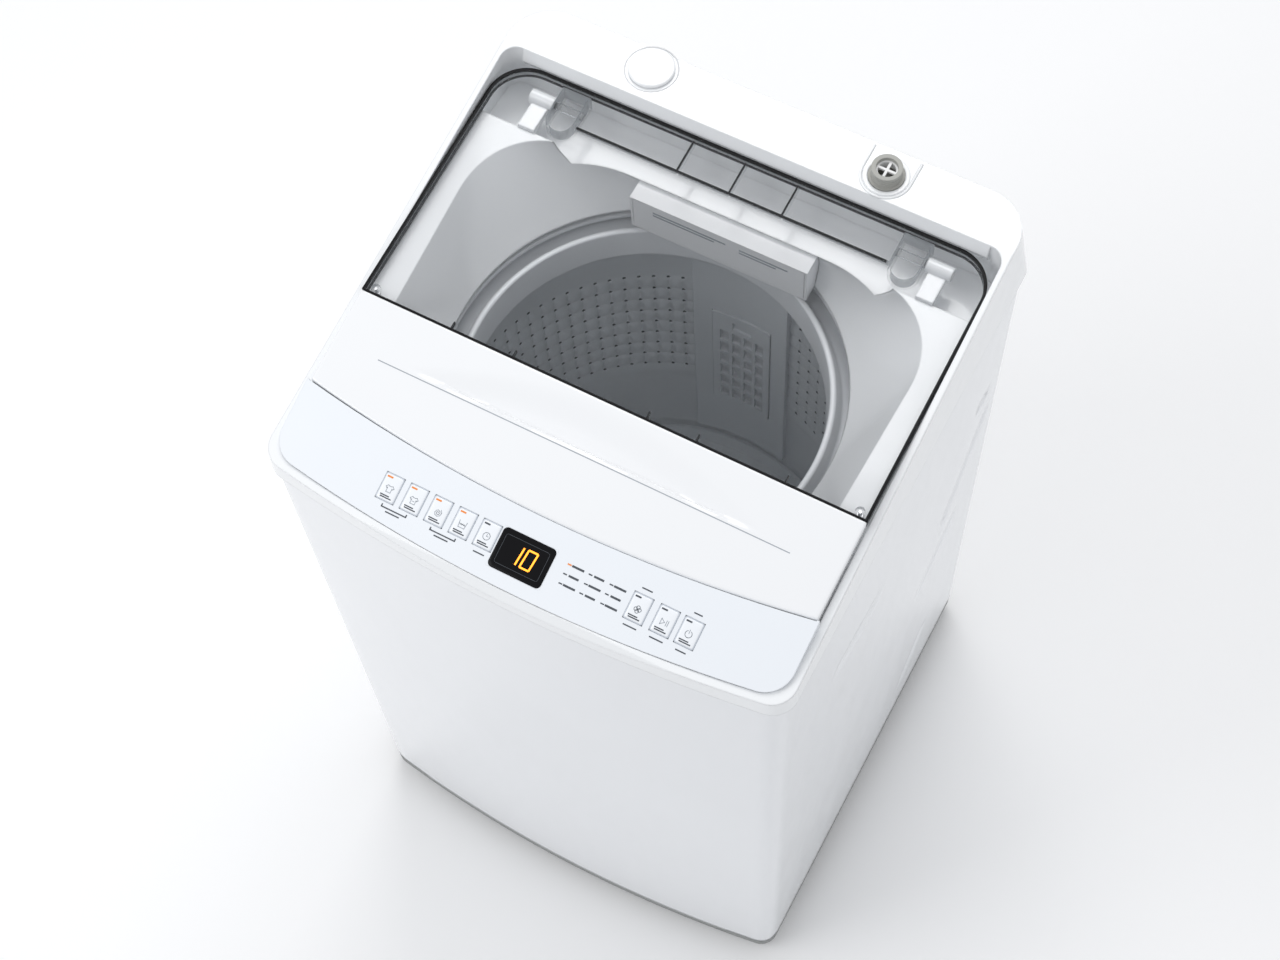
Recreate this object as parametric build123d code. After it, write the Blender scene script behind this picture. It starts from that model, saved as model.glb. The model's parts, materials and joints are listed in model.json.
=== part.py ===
from build123d import *
import math
import os

# A top load washing machine with a belt driven, rod hung tub. Millimetres, +Z up, the front faces -Y.
# The origin is on the floor under the middle of the cabinet.

# ---- overall size
WIDTH = 526.0
DEPTH = 525.0
DECK_Z = 920.0
BOW = 20.8                      # how far the front bulges in plan
FRONT_CORNER_R = 20.0
REAR_CORNER_R = 44.0
REAR_CREASE_R = 14.0
CLEARANCE = 0.5                 # between bodies that move past each other
RUNNING = 0.05                  # radial, shaft in bore

# ---- top cover, lid and panel
COVER_HEIGHT = 96.0
COVER_DRAFT = 4.5               # how far the cover leans in from its lower edge
COVER_WALL = 3.0
NOSE_DEPTH = 8.6
NOSE_DROP = 12.0
PANEL_RUN = 68.8
PANEL_SLOPE = 16.6
PANEL_T = 3.0
PANEL_SIDE_GAP = 8.6
PANEL_CORNER_R = 28.0
LID_FRONT_RUN = 114.5
LID_FRONT_SLOPE = 11.0
LID_WINDOW_SLOPE = 4.0
LID_SIDE_GAP = 11.0
LID_REAR_R = 39.0
LID_DEPTH = 12.0
LID_T = 3.0
LID_WELL_GAP = 1.2
WELL_REAR_R = 16.0              # tight enough for the lid to swing up past the deck
LID_FLOOR_GAP = 1.0
LID_FRONT_GAP = 0.9
LID_REAR_GAP = 5.2
LID_REAR_DROP = 14.7
DECK_RUN = 58.0
RISER_FOOT = 4.1                # how far the riser's foot stands in front of the deck's edge
GRIP_HALF = 184.0
GRIP_SLOT = 205.0
GRIP_FROM_SEAM = 52.0
GRIP_DEEP = 1.4
SCREW_SIDE = 10.0
SCREW_FROM_SEAM = 7.0
SCREW_R = 1.6

# ---- hinge
HINGE_FROM_REAR = 21.3
HINGE_DROP = 12.8
PIN_R = 4.0
BARREL_R = 7.0
BARREL_LENGTH = 24.0
LUG_FROM_SIDE = 88.0              # from the cover's side to a hinge lug's middle
LUG_W = 29.5
LUG_FRONT = 30.5
LUG_REAR = 16.0
LUG_BELOW = 8.0
LUG_WALL = 2.5
TROUGH_BELOW = 28.5
TROUGH_FRONT = 34.0
RIB_PITCH = 53.4
RIB_FRONT = 17.0
RIB_T = 2.0

# ---- throat
THROAT_SIDE = 24.0
THROAT_FRONT = 96.5
THROAT_R = 187.0
THROAT_BELOW_DECK = 106.0
THROAT_CORNER_R = 60.0

# ---- cabinet and base
CABINET_INSET = 6.0
CABINET_FRONT_INSET = 1.6
CABINET_REAR_INSET = 4.0
SHEET = 1.2
FLANGE = 20.0
PANEL_SEAM = 60.0               # from the side to the seam between side and front sheet
BASE_Z = 16.0
BASE_STRIP = 12.0
BASE_RISE = 30.0
BASE_WALL = 3.0
FOOT_R = 22.0
FOOT_INSET = 44.0
PAD = 74.0
PAD_T = 6.0
BOSS_H = 26.0
STEM_R = 5.0

# ---- hanging tub
TUB_SIDE_GAP = 34.0
TUB_WALL = 3.0
TUB_FLOOR_Z = 262.0
TUB_FLOOR_T = 4.0
TUB_RIM_BELOW_DECK = 145.0
TUB_LIP_R = 190.0
TUB_LIP_BELOW_DECK = 117.0
AXIS_Y = -8.0
ROD_INSET_X = 48.0
ROD_INSET_REAR = 47.5
ROD_INSET_FRONT = 62.5
ROD_R = 3.0
ROD_FOOT_Z = 300.0
ROD_FOOT_T = 3.0
SPRING_FREE = 92.0
SPRING_R = 12.0
SPRING_WIRE_R = 1.6
SPRING_TURNS = 8
ARM_T = 12.0
ARM_W = 34.0

# ---- basket
BASKET_GAP = 19.5
BASKET_SHEET = 1.5
BASKET_FLOOR_Z = 292.0
BASKET_FLOOR_T = 4.0
BASKET_CURB = 38.0
RING_BELOW_DECK = 198.0
RING_SHOULDER_BELOW_DECK = 134.0
RING_TOP_BELOW_DECK = 117.0
RING_LIP_BELOW_DECK = 154.0
RING_INNER_R = 167.5
CHANNEL_HALF_ANGLE = 15.0
CHANNEL_DEEP = 8.0
CHANNEL_LOW = 24.0
FILTER_W = 66.0
FILTER_RAISE = 2.0                # over the middle of the basket wall
FILTER_H = 188.0
FILTER_T = 7.0
PULSATOR_R = 165.0
PULSATOR_T = 8.0
PULSATOR_LIFT = 8.0
VANES = 6
VANE_H = 24.0

# ---- drive
SHAFT_R = 9.0
TUBE_R = 14.0
BEARING_R = 26.0
SEAL_R = 24.0
GEARCASE_R = 60.0
GEARCASE_H = 112.0
PULLEY_R = 60.0
MOTOR_PULLEY_R = 20.0
PULLEY_H = 18.0
PULLEY_Z = 98.0
BELT_W = 10.0
BELT_T = 3.0
BELT_GAP = 0.35
MOTOR_X = 140.0
MOTOR_R = 55.0
MOTOR_Z = 165.0
MOTOR_SHAFT_R = 6.0

# ---- controls
KEY_X = {"wash": -137.9, "rinse": -113.2, "spin": -88.4, "level": -63.5, "timer": -39.2,
         "course": 109.7, "start": 135.1, "power": 158.7}
KEY_W = 18.2
KEY_L = 24.6
KEY_FROM_TOP = 35.1
KEY_GAP = 0.4
KEY_PROUD = 0.6
KEY_TRAVEL = 1.0
DISPLAY_X = -2.2
DISPLAY_W = 52.6
DISPLAY_L = 38.0
DISPLAY_FROM_TOP = 39.5
BOARD_DEPTH = 12.0
BOARD_T = 1.6
BOARD_L = 46.0
SWITCH_H = 3.7

# ---- water and drawer
NOZZLE_X = 124.0
NOZZLE_R = 14.3
NOZZLE_BORE_R = 10.0
NOZZLE_RISE = 14.0
CAP_X = -119.0
CAP_R = 22.0
CAP_RISE = 4.5
CAP_PLUG_R = 18.0
HOUSING_W = 184.0
HOUSING_H = 48.0
HOUSING_FACE = 42.0
HOUSING_WALL = 2.5
DRAWER_FRONT_T = 3.0
DRAIN_Y = 190.0
DRAIN_Z = 90.0
DRAIN_BORE_R = 15.0
VALVE_X = -135.0
VALVE_Y = 60.0
GLAND_R = 8.0
GLAND_BORE_R = 3.8

# ---- worked out places
HALF_W = WIDTH / 2
FRONT_Y = -DEPTH / 2
REAR_Y = DEPTH / 2
CREASE_Z = DECK_Z - COVER_HEIGHT
RISER_Y = REAR_Y - DECK_RUN
LID_REAR_Y = RISER_Y - LID_REAR_GAP
LID_REAR_Z = DECK_Z - LID_REAR_DROP
PANEL_LOW_Y = FRONT_Y + NOSE_DEPTH
PANEL_TOP_Y = PANEL_LOW_Y + PANEL_RUN
SEAM_Y = PANEL_TOP_Y + LID_FRONT_RUN
LUG_X = HALF_W - LUG_FROM_SIDE
SEAM_Z = LID_REAR_Z - (LID_REAR_Y - SEAM_Y) * math.tan(math.radians(LID_WINDOW_SLOPE))
PANEL_TOP_Z = SEAM_Z - LID_FRONT_RUN * math.tan(math.radians(LID_FRONT_SLOPE))
PANEL_LOW_Z = PANEL_TOP_Z - PANEL_RUN * math.tan(math.radians(PANEL_SLOPE))
HINGE_Y = LID_REAR_Y - HINGE_FROM_REAR
HINGE_Z = LID_REAR_Z - HINGE_DROP
TROUGH_Z = HINGE_Z - TROUGH_BELOW
TROUGH_Y = HINGE_Y - TROUGH_FRONT
LID_HALF_W = HALF_W - LID_SIDE_GAP
WELL_DEPTH = LID_DEPTH + LID_FLOOR_GAP
SCREW_X = LID_HALF_W - SCREW_SIDE
THROAT_Z = DECK_Z - THROAT_BELOW_DECK
CABINET_HALF_W = HALF_W - CABINET_INSET
CABINET_FRONT_Y = FRONT_Y + CABINET_FRONT_INSET
CABINET_REAR_Y = REAR_Y - CABINET_REAR_INSET
WRAP_LOW_Z = BASE_Z + BASE_STRIP
GLAND_X = CABINET_HALF_W - 60
GLAND_Z = CREASE_Z - 60
TUB_R = min(WIDTH, DEPTH) / 2 - TUB_SIDE_GAP
TUB_RIM_Z = DECK_Z - TUB_RIM_BELOW_DECK
TUB_LIP_Z = DECK_Z - TUB_LIP_BELOW_DECK
BASKET_R = TUB_R - TUB_WALL - BASKET_GAP
RING_LOW_Z = DECK_Z - RING_BELOW_DECK
RING_TOP_Z = DECK_Z - RING_TOP_BELOW_DECK
BASKET_WALL_Z = BASKET_FLOOR_Z + BASKET_CURB
FILTER_LOW_Z = (BASKET_WALL_Z + RING_LOW_Z - FILTER_H) / 2 + FILTER_RAISE
PULSATOR_Z = BASKET_FLOOR_Z + BASKET_FLOOR_T + PULSATOR_LIFT
ARM_Z = ROD_FOOT_Z + ROD_FOOT_T + SPRING_FREE
HANGER_Z = CREASE_Z - 20.0
HANGER_T = 3.0
ROD_X = HALF_W - ROD_INSET_X
ROD_POINTS = [(x, y) for x in (-ROD_X, ROD_X)
              for y in (REAR_Y - ROD_INSET_REAR, FRONT_Y + ROD_INSET_FRONT)]
FOOT_X = HALF_W - FOOT_INSET
FOOT_Y = REAR_Y - FOOT_INSET - BOW
HOUSING_Y = RISER_Y - HOUSING_FACE - 24.0
HOUSING_TOP_Z = TROUGH_Z - COVER_WALL - 1.0
HOUSING_LOW_Z = HOUSING_TOP_Z - HOUSING_H
DECK_MID_Y = REAR_Y - 30.0
GEARCASE_Z = TUB_FLOOR_Z - GEARCASE_H
PANEL_PLANE = Plane(origin=(0, PANEL_TOP_Y, PANEL_TOP_Z), x_dir=(1, 0, 0),
                    z_dir=(0, -math.sin(math.radians(PANEL_SLOPE)), math.cos(math.radians(PANEL_SLOPE))))
PANEL_LENGTH = PANEL_RUN / math.cos(math.radians(PANEL_SLOPE))
AXIS = Pos(0, AXIS_Y, 0)


# ---- shape helpers
def plan(half_w, front, rear, front_r, rear_r):
    """A plan outline with a bowed front and rounded corners."""
    side_y = front + BOW
    line = [Line((-half_w, side_y), (-half_w, rear)), Line((-half_w, rear), (half_w, rear)),
            Line((half_w, rear), (half_w, side_y)),
            ThreePointArc((half_w, side_y), (0, front), (-half_w, side_y))]
    face = make_face(line)
    corners = face.vertices().sort_by(Axis.Y)
    if rear_r:
        face = fillet(corners[2:], rear_r)
    if front_r:
        face = fillet(face.vertices().sort_by(Axis.Y)[:2], front_r)
    return face


def prism(face, low, high):
    """A plan outline raised between two heights."""
    return extrude(Pos(0, 0, low) * face, amount=high - low)


def along_x(points, half):
    """A side profile of (y, z) points, carried across the machine."""
    outline = make_face(Polyline(*points, close=True))
    return extrude(Plane.YZ * outline, amount=half, both=True)


def turned(points, angle=360.0):
    """A profile of (radius, z) points, turned about the tub's axis."""
    outline = Plane.XZ * make_face(Polyline(*points, close=True))
    return AXIS * revolve(outline, Axis.Z, angle)


def disc(radius, low, high):
    """A cylinder on the tub's axis between two heights."""
    return AXIS * Pos(0, 0, low) * Cylinder(radius, high - low, align=(Align.CENTER, Align.CENTER, Align.MIN))


def rod(x, y, radius, low, high):
    """An upright cylinder."""
    return Pos(x, y, low) * Cylinder(radius, high - low, align=(Align.CENTER, Align.CENTER, Align.MIN))


def block(x0, x1, y0, y1, z0, z1):
    """A box between two corners."""
    return Pos((x0 + x1) / 2, (y0 + y1) / 2, (z0 + z1) / 2) * Box(x1 - x0, y1 - y0, z1 - z0)


def cross_rod(x0, x1, y, z, radius):
    """A cylinder along X."""
    return Pos((x0 + x1) / 2, y, z) * Rot(0, 90, 0) * Cylinder(radius, x1 - x0)


def group(solids):
    """Separate solids kept in one node."""
    return Compound(children=list(solids))


def top_line(drop):
    """The lid and panel heights from front to rear, lowered by drop."""
    return [(PANEL_LOW_Y, PANEL_LOW_Z - drop), (PANEL_TOP_Y, PANEL_TOP_Z - drop),
            (SEAM_Y, SEAM_Z - drop), (LID_REAR_Y + LID_REAR_GAP / 2, LID_REAR_Z - drop)]


def rim_height(y):
    """The side rims' top at a given depth: one straight rise from the nose to the deck."""
    return PANEL_LOW_Z + (y - PANEL_LOW_Y) * (DECK_Z - PANEL_LOW_Z) / (RISER_Y - PANEL_LOW_Y)


def lid_height(y):
    """The lid's top at a given depth."""
    if y > SEAM_Y:
        return SEAM_Z + (y - SEAM_Y) * math.tan(math.radians(LID_WINDOW_SLOPE))
    return SEAM_Z - (SEAM_Y - y) * math.tan(math.radians(LID_FRONT_SLOPE))


def lid_band(top_drop, low_drop, half=HALF_W):
    """The layer between two depths below the lid's top."""
    y0 = PANEL_TOP_Y - 30
    y1 = LID_REAR_Y + 1
    upper = [(y, lid_height(y) - top_drop) for y in (y0, SEAM_Y, y1)]
    lower = [(y, lid_height(y) - low_drop) for y in (y1, SEAM_Y, y0)]
    return along_x(upper + lower, half)


# ---- cabinet
def cabinet_face(inset):
    return plan(CABINET_HALF_W - inset, CABINET_FRONT_Y + inset, CABINET_REAR_Y - inset,
                FRONT_CORNER_R - inset / 2, 6.0 - inset / 2)


def cabinet_panels():
    """Front, sides and rear rail in sheet, with rear flanges, a top flange and rod hangers."""
    shell = prism(cabinet_face(0), WRAP_LOW_Z, CREASE_Z) - prism(cabinet_face(SHEET), WRAP_LOW_Z, CREASE_Z)
    window = CABINET_HALF_W - FLANGE
    shell -= block(-window, window, CABINET_REAR_Y - 3 * SHEET, REAR_Y, WRAP_LOW_Z, CREASE_Z)
    top = prism(cabinet_face(SHEET / 2), CREASE_Z - SHEET, CREASE_Z)
    top -= prism(cabinet_face(12.0), CREASE_Z - SHEET, CREASE_Z)
    shell += top
    inner = prism(cabinet_face(SHEET / 2), HANGER_Z, HANGER_Z + HANGER_T)
    for x, y in ROD_POINTS:
        side = math.copysign(1, x)
        end = math.copysign(1, y)
        corner = block(min(x - 14 * side, side * HALF_W), max(x - 14 * side, side * HALF_W),
                       min(y - 14 * end, end * DEPTH / 2), max(y - 14 * end, end * DEPTH / 2),
                       HANGER_Z, HANGER_Z + HANGER_T)
        shell += (corner & inner) - rod(x, y, ROD_R + 0.4, HANGER_Z, HANGER_Z + HANGER_T)
    side_hole = Pos(-CABINET_HALF_W, DRAIN_Y, DRAIN_Z) * Rot(0, 90, 0) * Cylinder(DRAIN_BORE_R + 4.4, 12)
    shell -= side_hole
    seam = CABINET_HALF_W - PANEL_SEAM
    z0, z1 = WRAP_LOW_Z, CREASE_Z
    return group([shell & block(-HALF_W, -seam, FRONT_Y, REAR_Y, z0, z1),
                  shell & block(seam, HALF_W, FRONT_Y, REAR_Y, z0, z1),
                  shell & block(-seam, seam, FRONT_Y, 0, z0, z1),
                  shell & block(-seam, seam, 0, REAR_Y, z0, z1)])


def back_panel():
    """The pressed rear sheet with three stiffening beads and a cable hole."""
    half = CABINET_HALF_W - 8
    y0 = CABINET_REAR_Y
    sheet = block(-half, half, y0, y0 + SHEET, WRAP_LOW_Z + 12, CREASE_Z - 6)
    for x in (-half / 2, 0, half / 2):
        bead = Pos(x, y0 + SHEET, (WRAP_LOW_Z + CREASE_Z) / 2) * Cylinder(2 * SHEET, CREASE_Z - 260)
        sheet += bead & block(-half, half, y0, REAR_Y - CLEARANCE, WRAP_LOW_Z, CREASE_Z)
    return sheet - Pos(GLAND_X, y0, GLAND_Z) * Rot(90, 0, 0) * Cylinder(GLAND_R, 12)


def cord_gland():
    """The ring that would hold the mains lead in the rear sheet."""
    y1 = CABINET_REAR_Y + SHEET + 1.5
    ring = Pos(GLAND_X, (CABINET_REAR_Y - 12 + y1) / 2, GLAND_Z) * Rot(90, 0, 0)
    body = ring * Cylinder(GLAND_R, y1 - CABINET_REAR_Y + 12)
    collar = Pos(GLAND_X, y1 - 0.75, GLAND_Z) * Rot(90, 0, 0) * Cylinder(GLAND_R + 3, 1.5)
    nut = Pos(GLAND_X, CABINET_REAR_Y - 4, GLAND_Z) * Rot(90, 0, 0) * Cylinder(GLAND_R + 4, 6)
    bore = ring * Cylinder(GLAND_BORE_R, 40)
    return body + collar + nut - bore


def back_panel_screws():
    """Pan head screws round the rear sheet."""
    x = CABINET_HALF_W - 13
    heads = []
    span = CREASE_Z - WRAP_LOW_Z - 50
    for row in range(4):
        z = WRAP_LOW_Z + 30 + span * row / 3
        for side in (-x, x):
            turn = Rot(90, 0, 0)
            head = Pos(side, CABINET_REAR_Y + SHEET + 1, z) * turn * Cylinder(4.0, 2.0)
            slot = Pos(side, CABINET_REAR_Y + SHEET + 2, z) * Box(5.0, 1.0, 1.2)
            heads.append(head - slot)
    return group(heads)


def base_frame():
    """The moulded base ring with a pad and a boss at each corner."""
    ring = prism(cabinet_face(0), BASE_Z, WRAP_LOW_Z)
    ring += prism(cabinet_face(SHEET), WRAP_LOW_Z, WRAP_LOW_Z + BASE_RISE)
    ring -= prism(cabinet_face(SHEET + BASE_WALL), BASE_Z, WRAP_LOW_Z + BASE_RISE)
    inside = prism(cabinet_face(SHEET), BASE_Z, BASE_Z + PAD_T)
    for x in (-FOOT_X, FOOT_X):
        for y in (-FOOT_Y, FOOT_Y):
            pad = block(min(x, math.copysign(HALF_W, x)) - (PAD / 2 if x > 0 else 0),
                        max(x, math.copysign(HALF_W, x)) + (PAD / 2 if x < 0 else 0),
                        min(y, math.copysign(REAR_Y, y)) - (PAD / 2 if y > 0 else 0),
                        max(y, math.copysign(REAR_Y, y)) + (PAD / 2 if y < 0 else 0),
                        BASE_Z, BASE_Z + PAD_T)
            ring += pad & inside
            ring += rod(x, y, 11.0, BASE_Z, BASE_Z + BOSS_H)
            ring -= rod(x, y, STEM_R, BASE_Z, BASE_Z + BOSS_H)
    return ring


def foot(x, y, stem_r):
    """A rubber footed screw."""
    shape = rod(x, y, FOOT_R, 0, BASE_Z - 6)
    shape += rod(x, y, FOOT_R - 5, BASE_Z - 6, BASE_Z - CLEARANCE)
    shape += rod(x, y, stem_r, 0, BASE_Z + BOSS_H - 2)
    return shape


def fixed_feet():
    return group([foot(-FOOT_X, FOOT_Y, STEM_R), foot(FOOT_X, FOOT_Y, STEM_R), foot(-FOOT_X, -FOOT_Y, STEM_R)])


def level_foot():
    """The adjustable foot at the front right corner, with its locking nut."""
    shape = foot(FOOT_X, -FOOT_Y, STEM_R - RUNNING)
    groove = rod(FOOT_X, -FOOT_Y, FOOT_R, 3, 6) - rod(FOOT_X, -FOOT_Y, FOOT_R - 1.2, 3, 6)
    notches = [Pos(FOOT_X, -FOOT_Y, 4.5) * Rot(0, 0, 30 * k) * Pos(FOOT_R, 0, 0) * Box(2.4, 2.4, 9)
               for k in range(12)]
    return shape - groove - notches


def side_screw_caps():
    """Round caps over the screws that hold the cover to the wrap."""
    caps = []
    for side in (-1, 1):
        x = side * (CABINET_HALF_W + 1.0)
        for y in (FRONT_Y + 105, REAR_Y - 105):
            caps.append(Pos(x, y, CREASE_Z - 9) * Rot(0, 90, 0) * Cylinder(5.0, 2.0))
    return group(caps)


# ---- top cover
def cover_blank(inset):
    """The cover's outer form, leaning in from its lower edge."""
    low = plan(HALF_W - inset, FRONT_Y + inset, REAR_Y - inset, FRONT_CORNER_R + 4 - inset, REAR_CREASE_R - inset)
    high_in = inset + COVER_DRAFT
    high = plan(HALF_W - high_in, FRONT_Y + high_in, REAR_Y - high_in,
                FRONT_CORNER_R + 4 - inset, REAR_CORNER_R - inset)
    return loft([Pos(0, 0, CREASE_Z) * low, Pos(0, 0, DECK_Z + 2) * high])


def throat_blank(wall):
    """The funnel from the lid well down to the tub."""
    half = HALF_W - THROAT_SIDE + wall
    y0 = FRONT_Y + THROAT_FRONT - wall
    y1 = TROUGH_Y - COVER_WALL + wall
    top_z = HINGE_Z + 8
    top = Pos(0, (y0 + y1) / 2, top_z) * RectangleRounded(2 * half, y1 - y0, THROAT_CORNER_R + wall)
    radius = THROAT_R + wall
    low = Pos(0, AXIS_Y, THROAT_Z) * RectangleRounded(2 * radius, 2 * radius, radius - 0.5)
    return loft([low, top])


def lid_outline(grow):
    """The lid's plan: rounded at the rear, bowed at the front."""
    return plan(LID_HALF_W + grow, PANEL_TOP_Y + LID_FRONT_GAP - grow, LID_REAR_Y + grow, 0, LID_REAR_R + grow)


def panel_face(grow):
    """The control panel's outline on its own sloped plane."""
    half = HALF_W - PANEL_SIDE_GAP + grow
    low = -PANEL_LENGTH - grow
    line = [ThreePointArc((-half, low + BOW), (0, low), (half, low + BOW)),
            Line((half, low + BOW), (half, BOW)),
            ThreePointArc((half, BOW), (0, 0), (-half, BOW)),
            Line((-half, BOW), (-half, low + BOW))]
    face = make_face(line)
    return fillet(face.vertices().sort_by(Axis.Y)[:2], PANEL_CORNER_R + grow)


def top_cover():
    """The moulded top: rear deck, lid well, hinge trough, throat and panel seat."""
    rear = [(RISER_Y, DECK_Z), (REAR_Y + 5, DECK_Z), (REAR_Y + 5, CREASE_Z - 5)]
    front = [(FRONT_Y - 5, CREASE_Z - 5), (FRONT_Y - 5, PANEL_LOW_Z - NOSE_DROP), (PANEL_LOW_Y, PANEL_LOW_Z)]
    body = cover_blank(0) & along_x(front + rear, HALF_W + 5)
    middle = plan(HALF_W - PANEL_SIDE_GAP - COVER_WALL, PANEL_LOW_Y + COVER_WALL, RISER_Y, PANEL_CORNER_R, 0)
    body += prism(middle, CREASE_Z, DECK_Z) & along_x(
        [(PANEL_LOW_Y - 5, CREASE_Z)] + top_line(0) + [(RISER_Y, CREASE_Z)], HALF_W)
    under = WELL_DEPTH + COVER_WALL
    void = [(FRONT_Y - 5, CREASE_Z - 5), (FRONT_Y - 5, PANEL_LOW_Z - NOSE_DROP - 2 * COVER_WALL),
            (PANEL_LOW_Y, PANEL_LOW_Z - PANEL_T - COVER_WALL),
            (PANEL_TOP_Y - COVER_WALL, rim_height(PANEL_TOP_Y) - PANEL_T - COVER_WALL),
            (PANEL_TOP_Y - COVER_WALL, PANEL_TOP_Z - under - 1),
            (SEAM_Y, SEAM_Z - under), (TROUGH_Y - COVER_WALL, lid_height(TROUGH_Y) - under),
            (TROUGH_Y - COVER_WALL, TROUGH_Z - COVER_WALL), (RISER_Y + COVER_WALL, TROUGH_Z - COVER_WALL),
            (RISER_Y + COVER_WALL, DECK_Z - COVER_WALL), (REAR_Y + 5, DECK_Z - COVER_WALL - 1),
            (REAR_Y + 5, CREASE_Z - 5)]
    body -= cover_blank(COVER_WALL) & along_x(void, HALF_W + 5)
    floor_profile = [(FRONT_Y, THROAT_Z), (FRONT_Y, PANEL_TOP_Z - WELL_DEPTH - 12),
                     (PANEL_TOP_Y, PANEL_TOP_Z - WELL_DEPTH), (SEAM_Y, SEAM_Z - WELL_DEPTH),
                     (TROUGH_Y, lid_height(TROUGH_Y) - WELL_DEPTH), (TROUGH_Y, TROUGH_Z),
                     (RISER_Y, TROUGH_Z), (RISER_Y, THROAT_Z)]
    inner = throat_blank(0)
    body += (throat_blank(COVER_WALL) & along_x(floor_profile, HALF_W)) - inner
    body -= inner
    half = LID_HALF_W + LID_WELL_GAP
    well = prism(plan(half, PANEL_TOP_Y - 1, RISER_Y, 0, WELL_REAR_R), CREASE_Z, DECK_Z + 5)
    above = [(PANEL_TOP_Y - 40, lid_height(PANEL_TOP_Y - 40) - WELL_DEPTH), (SEAM_Y, SEAM_Z - WELL_DEPTH),
             (RISER_Y + 4, lid_height(RISER_Y + 4) - WELL_DEPTH), (RISER_Y + 4, DECK_Z + 5),
             (PANEL_TOP_Y - 40, DECK_Z + 5)]
    body -= well & along_x(above, HALF_W)
    body -= well & block(-half, half, TROUGH_Y, RISER_Y, TROUGH_Z, DECK_Z + 5)
    body += along_x([(RISER_Y + 1, DECK_Z), (RISER_Y, DECK_Z), (RISER_Y - RISER_FOOT, DECK_Z - 14.3),
                     (RISER_Y, DECK_Z - 24), (RISER_Y + 1, DECK_Z - 24)], half - WELL_REAR_R)
    body -= extrude(PANEL_PLANE * panel_face(0.3), amount=12)
    body -= extrude(PANEL_PLANE * panel_face(0.3), amount=-PANEL_T)
    body -= on_panel(0, KEY_FROM_TOP - 0.6, 8) * Box(2 * 176.0, BOARD_L + 5, 16)
    body -= housing_box(CLEARANCE)
    body -= rod(NOZZLE_X, DECK_MID_Y - 3.5, NOZZLE_R + 0.2, DECK_Z - 10, DECK_Z + 5)
    body -= rod(CAP_X, DECK_MID_Y + 4.5, CAP_PLUG_R + CLEARANCE, DECK_Z - 10, DECK_Z + 5)
    return body


# ---- controls
def panel_plan(inset):
    """The control panel's outline seen from above, as a band between the nose and the lid."""
    half = HALF_W - PANEL_SIDE_GAP - inset
    low = PANEL_LOW_Y + inset
    line = [ThreePointArc((-half, low + BOW), (0, low), (half, low + BOW)),
            Line((half, low + BOW), (half, PANEL_TOP_Y + BOW)),
            ThreePointArc((half, PANEL_TOP_Y + BOW), (0, PANEL_TOP_Y), (-half, PANEL_TOP_Y + BOW)),
            Line((-half, PANEL_TOP_Y + BOW), (-half, low + BOW))]
    face = make_face(line)
    return fillet(face.vertices().sort_by(Axis.Y)[:2], PANEL_CORNER_R - inset)


def on_panel(x, from_top, depth):
    """A place on the control panel, below its upper edge and under its face."""
    return PANEL_PLANE * Pos(x, -from_top, -depth)


def control_panel():
    """The sloped fascia with the key holes, the display hole and the board posts."""
    fascia = extrude(PANEL_PLANE * panel_face(0), amount=-PANEL_T)
    for x in KEY_X.values():
        fascia -= on_panel(x, KEY_FROM_TOP, PANEL_T / 2) * Box(KEY_W + 2 * KEY_GAP, KEY_L + 2 * KEY_GAP, 9)
    fascia -= on_panel(DISPLAY_X, DISPLAY_FROM_TOP, PANEL_T / 2) * Box(DISPLAY_W, DISPLAY_L, 9)
    skirt = prism(panel_plan(0.3), CREASE_Z, DECK_Z) - prism(panel_plan(COVER_WALL - 0.4), CREASE_Z, DECK_Z)
    end = PANEL_TOP_Y + BOW
    end_z = PANEL_TOP_Z + BOW * math.tan(math.radians(PANEL_SLOPE))
    skirt &= along_x([(PANEL_LOW_Y, PANEL_LOW_Z), (end, rim_height(end)), (end, end_z)], HALF_W)
    half = HALF_W - PANEL_SIDE_GAP - COVER_WALL
    skirt -= block(-half, half, PANEL_TOP_Y - 6, REAR_Y, CREASE_Z, DECK_Z)
    fascia += skirt
    post = BOARD_DEPTH - PANEL_T
    for x in (-164.0, DISPLAY_X - DISPLAY_W / 2 - 5, 25.0 + DISPLAY_W, 170.0):
        fascia += on_panel(x, PANEL_LENGTH - 17, PANEL_T + post / 2) * Cylinder(2.5, post)
    return fascia


def display_window():
    """The dark lens over the digits."""
    return on_panel(DISPLAY_X, DISPLAY_FROM_TOP, PANEL_T / 2 - 0.2) * Box(DISPLAY_W, DISPLAY_L, PANEL_T)


def control_board():
    """The printed board with the digit block and a relay."""
    board = on_panel(3, KEY_FROM_TOP, BOARD_DEPTH + BOARD_T / 2) * Box(344, BOARD_L, BOARD_T)
    digits_h = BOARD_DEPTH - PANEL_T - 1
    board += on_panel(DISPLAY_X, DISPLAY_FROM_TOP, BOARD_DEPTH - digits_h / 2) * Box(34, 20, digits_h)
    board += on_panel(70, KEY_FROM_TOP, BOARD_DEPTH + BOARD_T + 6) * Box(24, 18, 12)
    return board


def key_switches():
    """One small switch under each key."""
    depth = BOARD_DEPTH - SWITCH_H / 2
    return group([on_panel(x, KEY_FROM_TOP, depth) * Box(6, 6, SWITCH_H) for x in KEY_X.values()])


def key(x):
    """A key cap with its stem, which stops just above its switch."""
    cap = on_panel(x, KEY_FROM_TOP, (PANEL_T - KEY_PROUD) / 2) * Box(KEY_W, KEY_L, PANEL_T + KEY_PROUD)
    stem_end = BOARD_DEPTH - SWITCH_H - KEY_TRAVEL - 0.3
    stem = on_panel(x, KEY_FROM_TOP, (PANEL_T + stem_end) / 2) * Cylinder(2.0, stem_end - PANEL_T)
    return cap + stem


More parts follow.
